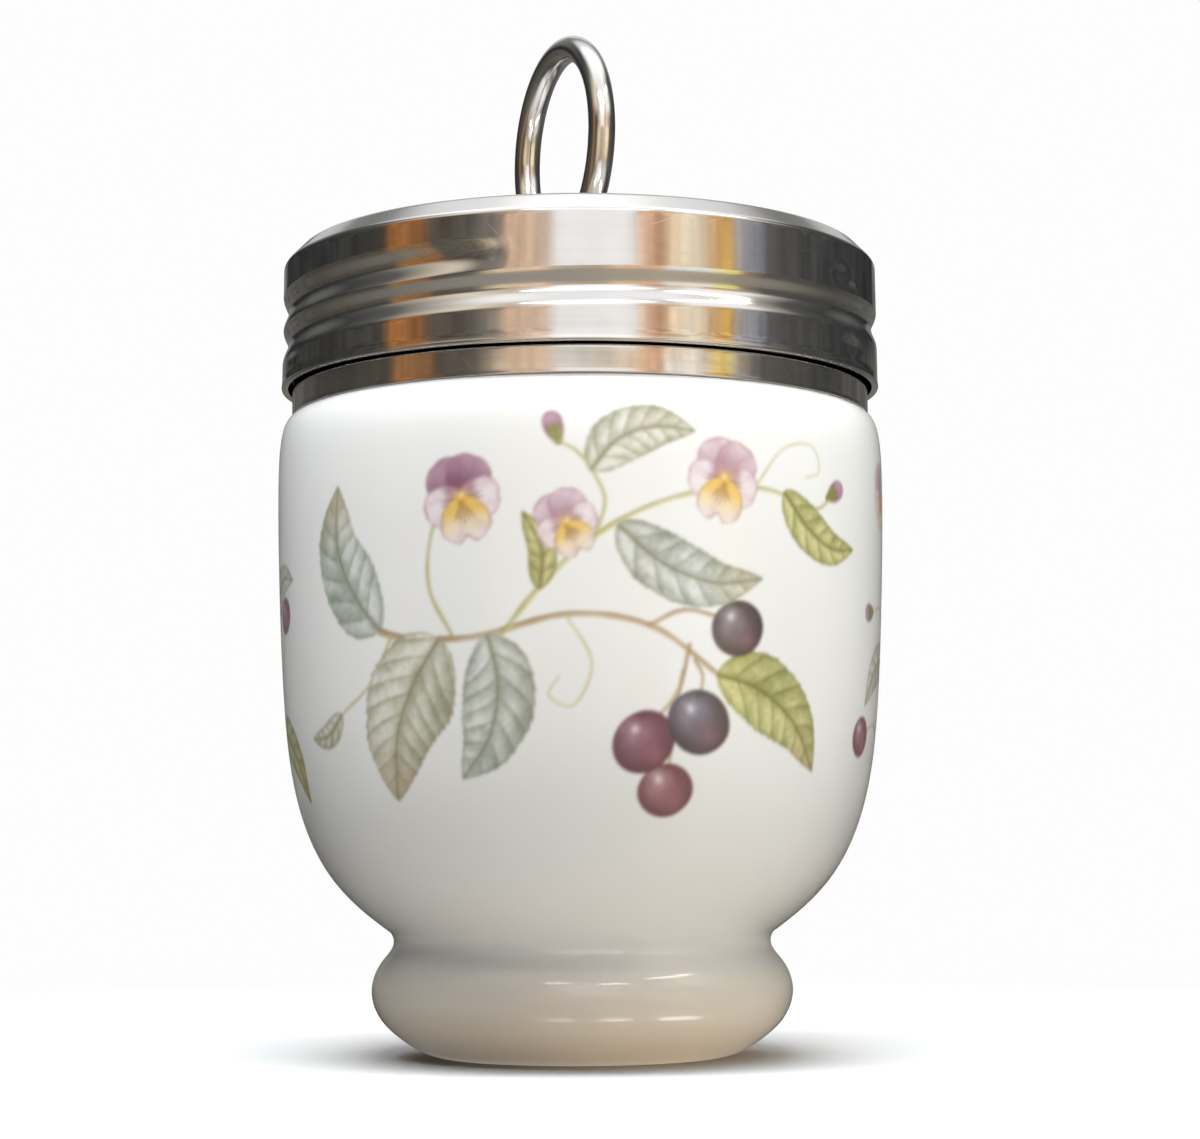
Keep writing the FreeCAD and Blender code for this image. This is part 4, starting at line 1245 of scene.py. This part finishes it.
# a low card in front that only keeps direct light off the foot
cm = bpy.data.meshes.new("flag")
cm.from_pydata([(-0.05, -0.10, 0.012), (0.07, -0.10, 0.012), (0.07, -0.10, 0.0335), (-0.05, -0.10, 0.0335)], [], [(0, 1, 2, 3)])
flag = bpy.data.objects.new("flag", cm)
bpy.context.scene.collection.objects.link(flag)
flag.visible_camera = flag.visible_diffuse = flag.visible_glossy = flag.visible_transmission = False

# the room: pale to the eye; for light and reflections a soft studio with a
# bright ceiling and front, darker sides and a few warm panels
world = bpy.data.worlds.new("studio")
bpy.context.scene.world = world
world.use_nodes = True
n = Nodes(world.node_tree)
out = n.new("ShaderNodeOutputWorld")
tc = n.new("ShaderNodeTexCoord")
sep = n.new("ShaderNodeSeparateXYZ")
n.link(tc.outputs["Generated"], sep.inputs[0])
wx, wy, wz = sep.outputs
azim = n.math("DEGREES", n.math("ARCTAN2", wx, n.math("MULTIPLY", wy, -1.0)))
elev = n.math("DEGREES", n.math("ARCSINE", wz))
turn = n.math("MULTIPLY_ADD", azim, 1 / 360.0, 0.5)


def strips(stops):
    return n.ramp(turn, [((a + 180.0) / 360.0, c) for a, c in stops])


# a band at the height that upright steel mirrors: azimuth, colour
mid = strips([
    (-180, glow(120, 120, 120)), (-161, glow(112, 112, 112)), (-156, glow(44, 44, 44)), (-100, glow(58, 58, 58)),
    (-80, glow(76, 74, 70)), (-76, glow(158, 104, 60)), (-62, glow(146, 100, 64)), (-58, glow(92, 82, 72)),
    (-42, glow(92, 86, 82)), (-32, glow(134, 126, 120)), (-26, glow(208, 176, 150)), (-13, glow(232, 204, 180)),
    (-8, glow(244, 243, 242)), (20, glow(240, 239, 238)), (23, glow(226, 196, 172)), (30, glow(196, 144, 108)),
    (34, glow(226, 198, 164)), (44, glow(244, 230, 206)), (52, glow(220, 176, 124)), (58, glow(220, 172, 84)),
    (62, glow(160, 158, 160)), (72, glow(140, 142, 150)), (76, glow(96, 95, 94)), (100, glow(72, 72, 72)),
    (156, glow(44, 44, 44)), (161, glow(112, 112, 112)), (179.9, glow(120, 120, 120))])
# above it, where the thread's upper slope looks
high = strips([
    (-180, glow(140, 140, 139)), (-150, glow(120, 120, 118)), (-115, glow(60, 60, 60)), (-90, glow(90, 90, 88)), (-62, glow(196, 186, 168)),
    (-48, glow(224, 214, 196)), (-26, glow(196, 182, 164)), (-14, glow(244, 243, 242)), (-8, glow(255, 255, 255, 1.7)),
    (18, glow(255, 255, 255, 1.7)), (26, glow(222, 220, 216)), (38, glow(214, 206, 194)), (46, glow(250, 249, 246)),
    (72, glow(246, 243, 238)), (84, glow(170, 164, 156)), (100, glow(84, 84, 83)), (122, glow(60, 60, 60)),
    (150, glow(120, 120, 118)), (179.9, glow(140, 140, 139))])
# below it, where the collar and the underside of the thread look
low = strips([
    (-180, glow(110, 108, 104)), (-120, glow(70, 68, 64)), (-78, glow(84, 78, 68)), (-74, glow(140, 108, 72)),
    (-60, glow(140, 104, 72)), (-56, glow(84, 80, 74)), (-40, glow(108, 100, 90)), (-30, glow(226, 204, 170)),
    (-14, glow(240, 208, 178)), (-8, glow(190, 178, 158)), (8, glow(186, 168, 142)), (16, glow(226, 196, 162)),
    (30, glow(232, 186, 152)), (34, glow(246, 242, 236)), (50, glow(248, 246, 240)), (53, glow(250, 240, 170)),
    (61, glow(246, 226, 130)), (64, glow(160, 140, 112)), (74, glow(96, 90, 82)), (110, glow(66, 66, 65)),
    (179.9, glow(110, 108, 104))])
# nothing in the room is quite even: broad soft patches in both bands
blot = n.noise(vector(n, n.math("MULTIPLY", azim, 0.15), n.math("MULTIPLY", elev, 0.85), 3.7), 1.0, 3.0, 0.55)
blot = n.span(blot, 0.32, 0.68, 0.55, 1.28)
fine = n.span(n.noise(vector(n, n.math("MULTIPLY", azim, 0.55), n.math("MULTIPLY", elev, 0.5), 8.1), 1.0, 2.0, 0.5), 0.3, 0.7, 0.72, 1.2)
calm = n.math("MULTIPLY", n.span(azim, -14.0, -6.0, 0.0, 1.0), n.span(azim, 16.0, 24.0, 1.0, 0.0))
blot = n.mix(calm, n.math("MULTIPLY", blot, fine), (1.0, 1.0, 1.0))
mid = n.mix(1.0, mid, blot, "MULTIPLY")
cell = n.span(n.noise(vector(n, n.math("MULTIPLY", azim, 0.30), n.math("MULTIPLY", elev, 0.8), 5.2), 1.0, 3.0, 0.6), 0.33, 0.67, 0.5, 1.3)
low = n.mix(1.0, low, n.mix(0.35, n.mix(1.0, cell, cell, "MIX"), blot), "MULTIPLY")
under = n.mix(n.span(elev, -40.0, 4.0, 0.55, 0.0), low, glow(120, 116, 104))
col = n.mix(n.span(elev, 9.6, 11.2, 0.0, 1.0), under, mid)
col = n.mix(n.span(elev, 17.0, 30.0, 0.0, 1.0), col, high)
# the ceiling: brightest just above and in front, dark far behind and beside
grey = lambda v: (v, v, v)
depth = n.math("MULTIPLY_ADD", wy, 0.5, 0.5)
ceiling = n.ramp(depth, [((v + 1) / 2, grey(k)) for v, k in (
    (-1.0, 0.9), (-0.6, 1.15), (-0.2, 1.5), (0.18, 1.8), (0.24, 1.6), (0.29, 1.08), (0.44, 0.92), (0.50, 0.62),
    (0.56, 0.38), (0.68, 0.22), (0.9, 0.18))])
side = n.math("ABSOLUTE", wx)
ceiling = n.mix(n.span(side, 0.36, 0.80, 0.0, 1.0), ceiling, grey(0.24))
# a pale card high up behind, which only the flat top of the lid mirrors
card = n.math("MULTIPLY", n.math("MULTIPLY", n.span(side, 0.16, 0.27, 1.0, 0.0), n.span(wy, 0.60, 0.72, 0.0, 1.0)),
              n.span(elev, 17.0, 24.0, 0.0, 1.0))
wide = n.math("MULTIPLY", n.math("MULTIPLY", n.span(side, 0.28, 0.48, 0.7, 0.0), n.span(wy, 0.70, 0.78, 0.0, 1.0)),
              n.span(elev, 17.0, 24.0, 0.0, 1.0))
card = n.math("MAXIMUM", card, wide)
ceiling = n.mix(card, ceiling, grey(0.75))
col = n.mix(n.span(elev, 40.0, 52.0, 0.0, 1.0), col, ceiling)
col = n.mix(card, col, grey(0.75))
# the lamps themselves: three short bars of light in front and to the right
bars = None
for a0, a1, b0, b1, mid_el, k in ((-27.0, -20.0, -12.0, -5.0, 39.0, 7.0), (8.0, 13.0, 26.0, 32.0, 36.5, 7.0), (38.0, 46.0, 72.0, 86.0, 44.5, 8.5)):
    off = n.math("ABSOLUTE", n.math("SUBTRACT", elev, mid_el))
    one = n.math("MULTIPLY", n.math("MULTIPLY", n.span(azim, a0, a1, 0.0, k), n.span(azim, b0, b1, 1.0, 0.0)), n.span(off, 1.0, 2.6, 1.0, 0.0))
    bars = one if bars is None else n.math("ADD", bars, one)
col = n.mix(1.0, col, n.mix(1.0, bars, (1.0, 0.96, 0.88), "MULTIPLY"), "ADD")
lit = n.new("ShaderNodeBackground")
n.link(col, lit.inputs["Color"])
WORLD, MIRRORED = 0.03, 1.0
lit.inputs["Strength"].default_value = WORLD
mirrored = n.new("ShaderNodeBackground")
n.link(col, mirrored.inputs["Color"])
mirrored.inputs["Strength"].default_value = MIRRORED
seen = n.new("ShaderNodeBackground")
seen.inputs["Color"].default_value = (0.985, 0.985, 0.983, 1)
lp = n.new("ShaderNodeLightPath")
gl = n.new("ShaderNodeMixShader")
n.link(lp.outputs["Is Glossy Ray"], gl.inputs[0])
n.link(lit.outputs[0], gl.inputs[1])
n.link(mirrored.outputs[0], gl.inputs[2])
mx = n.new("ShaderNodeMixShader")
n.link(lp.outputs["Is Camera Ray"], mx.inputs[0])
n.link(gl.outputs[0], mx.inputs[1])
n.link(seen.outputs[0], mx.inputs[2])
n.link(mx.outputs[0], out.inputs[0])


def softbox(name, at, aim, size, power, colour=(1, 1, 1)):
    ld = bpy.data.lights.new(name, "AREA")
    ld.shape = "RECTANGLE"
    ld.size, ld.size_y = size
    ld.energy = power
    ld.color = colour
    lo = bpy.data.objects.new(name, ld)
    bpy.context.scene.collection.objects.link(lo)
    lo.location = at
    lo.rotation_euler = (Vector(aim) - Vector(at)).to_track_quat("-Z", "Y").to_euler()
    lo.visible_camera = False
    lo.visible_glossy = False
    return lo


softbox("zenith", (0.0, -0.03, 0.30), (0, 0, 0.05), (0.24, 0.12), 2.75, (0.95, 0.98, 1.0))
softbox("high_left", (-0.12, -0.07, 0.27), (0, 0, 0.055), (0.12, 0.12), 0.34, (0.92, 0.97, 1.0))
softbox("high_right", (0.12, -0.07, 0.27), (0, 0, 0.055), (0.12, 0.12), 0.23, (0.82, 0.92, 1.0))
softbox("right", (0.25, -0.10, 0.16), (0, 0, 0.055), (0.16, 0.16), 0.205, (1.0, 0.91, 0.76))
softbox("low_front", (0.03, -0.26, 0.07), (0, 0, 0.05), (0.20, 0.05), 0.215, (1.0, 0.965, 0.91))
softbox("back", (-0.08, 0.40, 0.24), (0, 0, 0.05), (0.40, 0.30), 1.4)

# the card stands in the way of the low front light alone
passed = bpy.data.collections.new("lets_pass")
passed.objects.link(flag)
passed.collection_objects[0].light_linking.link_state = "EXCLUDE"
for name in ("zenith", "high_left", "high_right", "right", "back"):
    bpy.data.objects[name].light_linking.blocker_collection = passed

sc = bpy.context.scene
sc.view_settings.view_transform = "Standard"
sc.view_settings.look = "None"
sc.view_settings.exposure = 0.0
sc.view_settings.gamma = 1.0
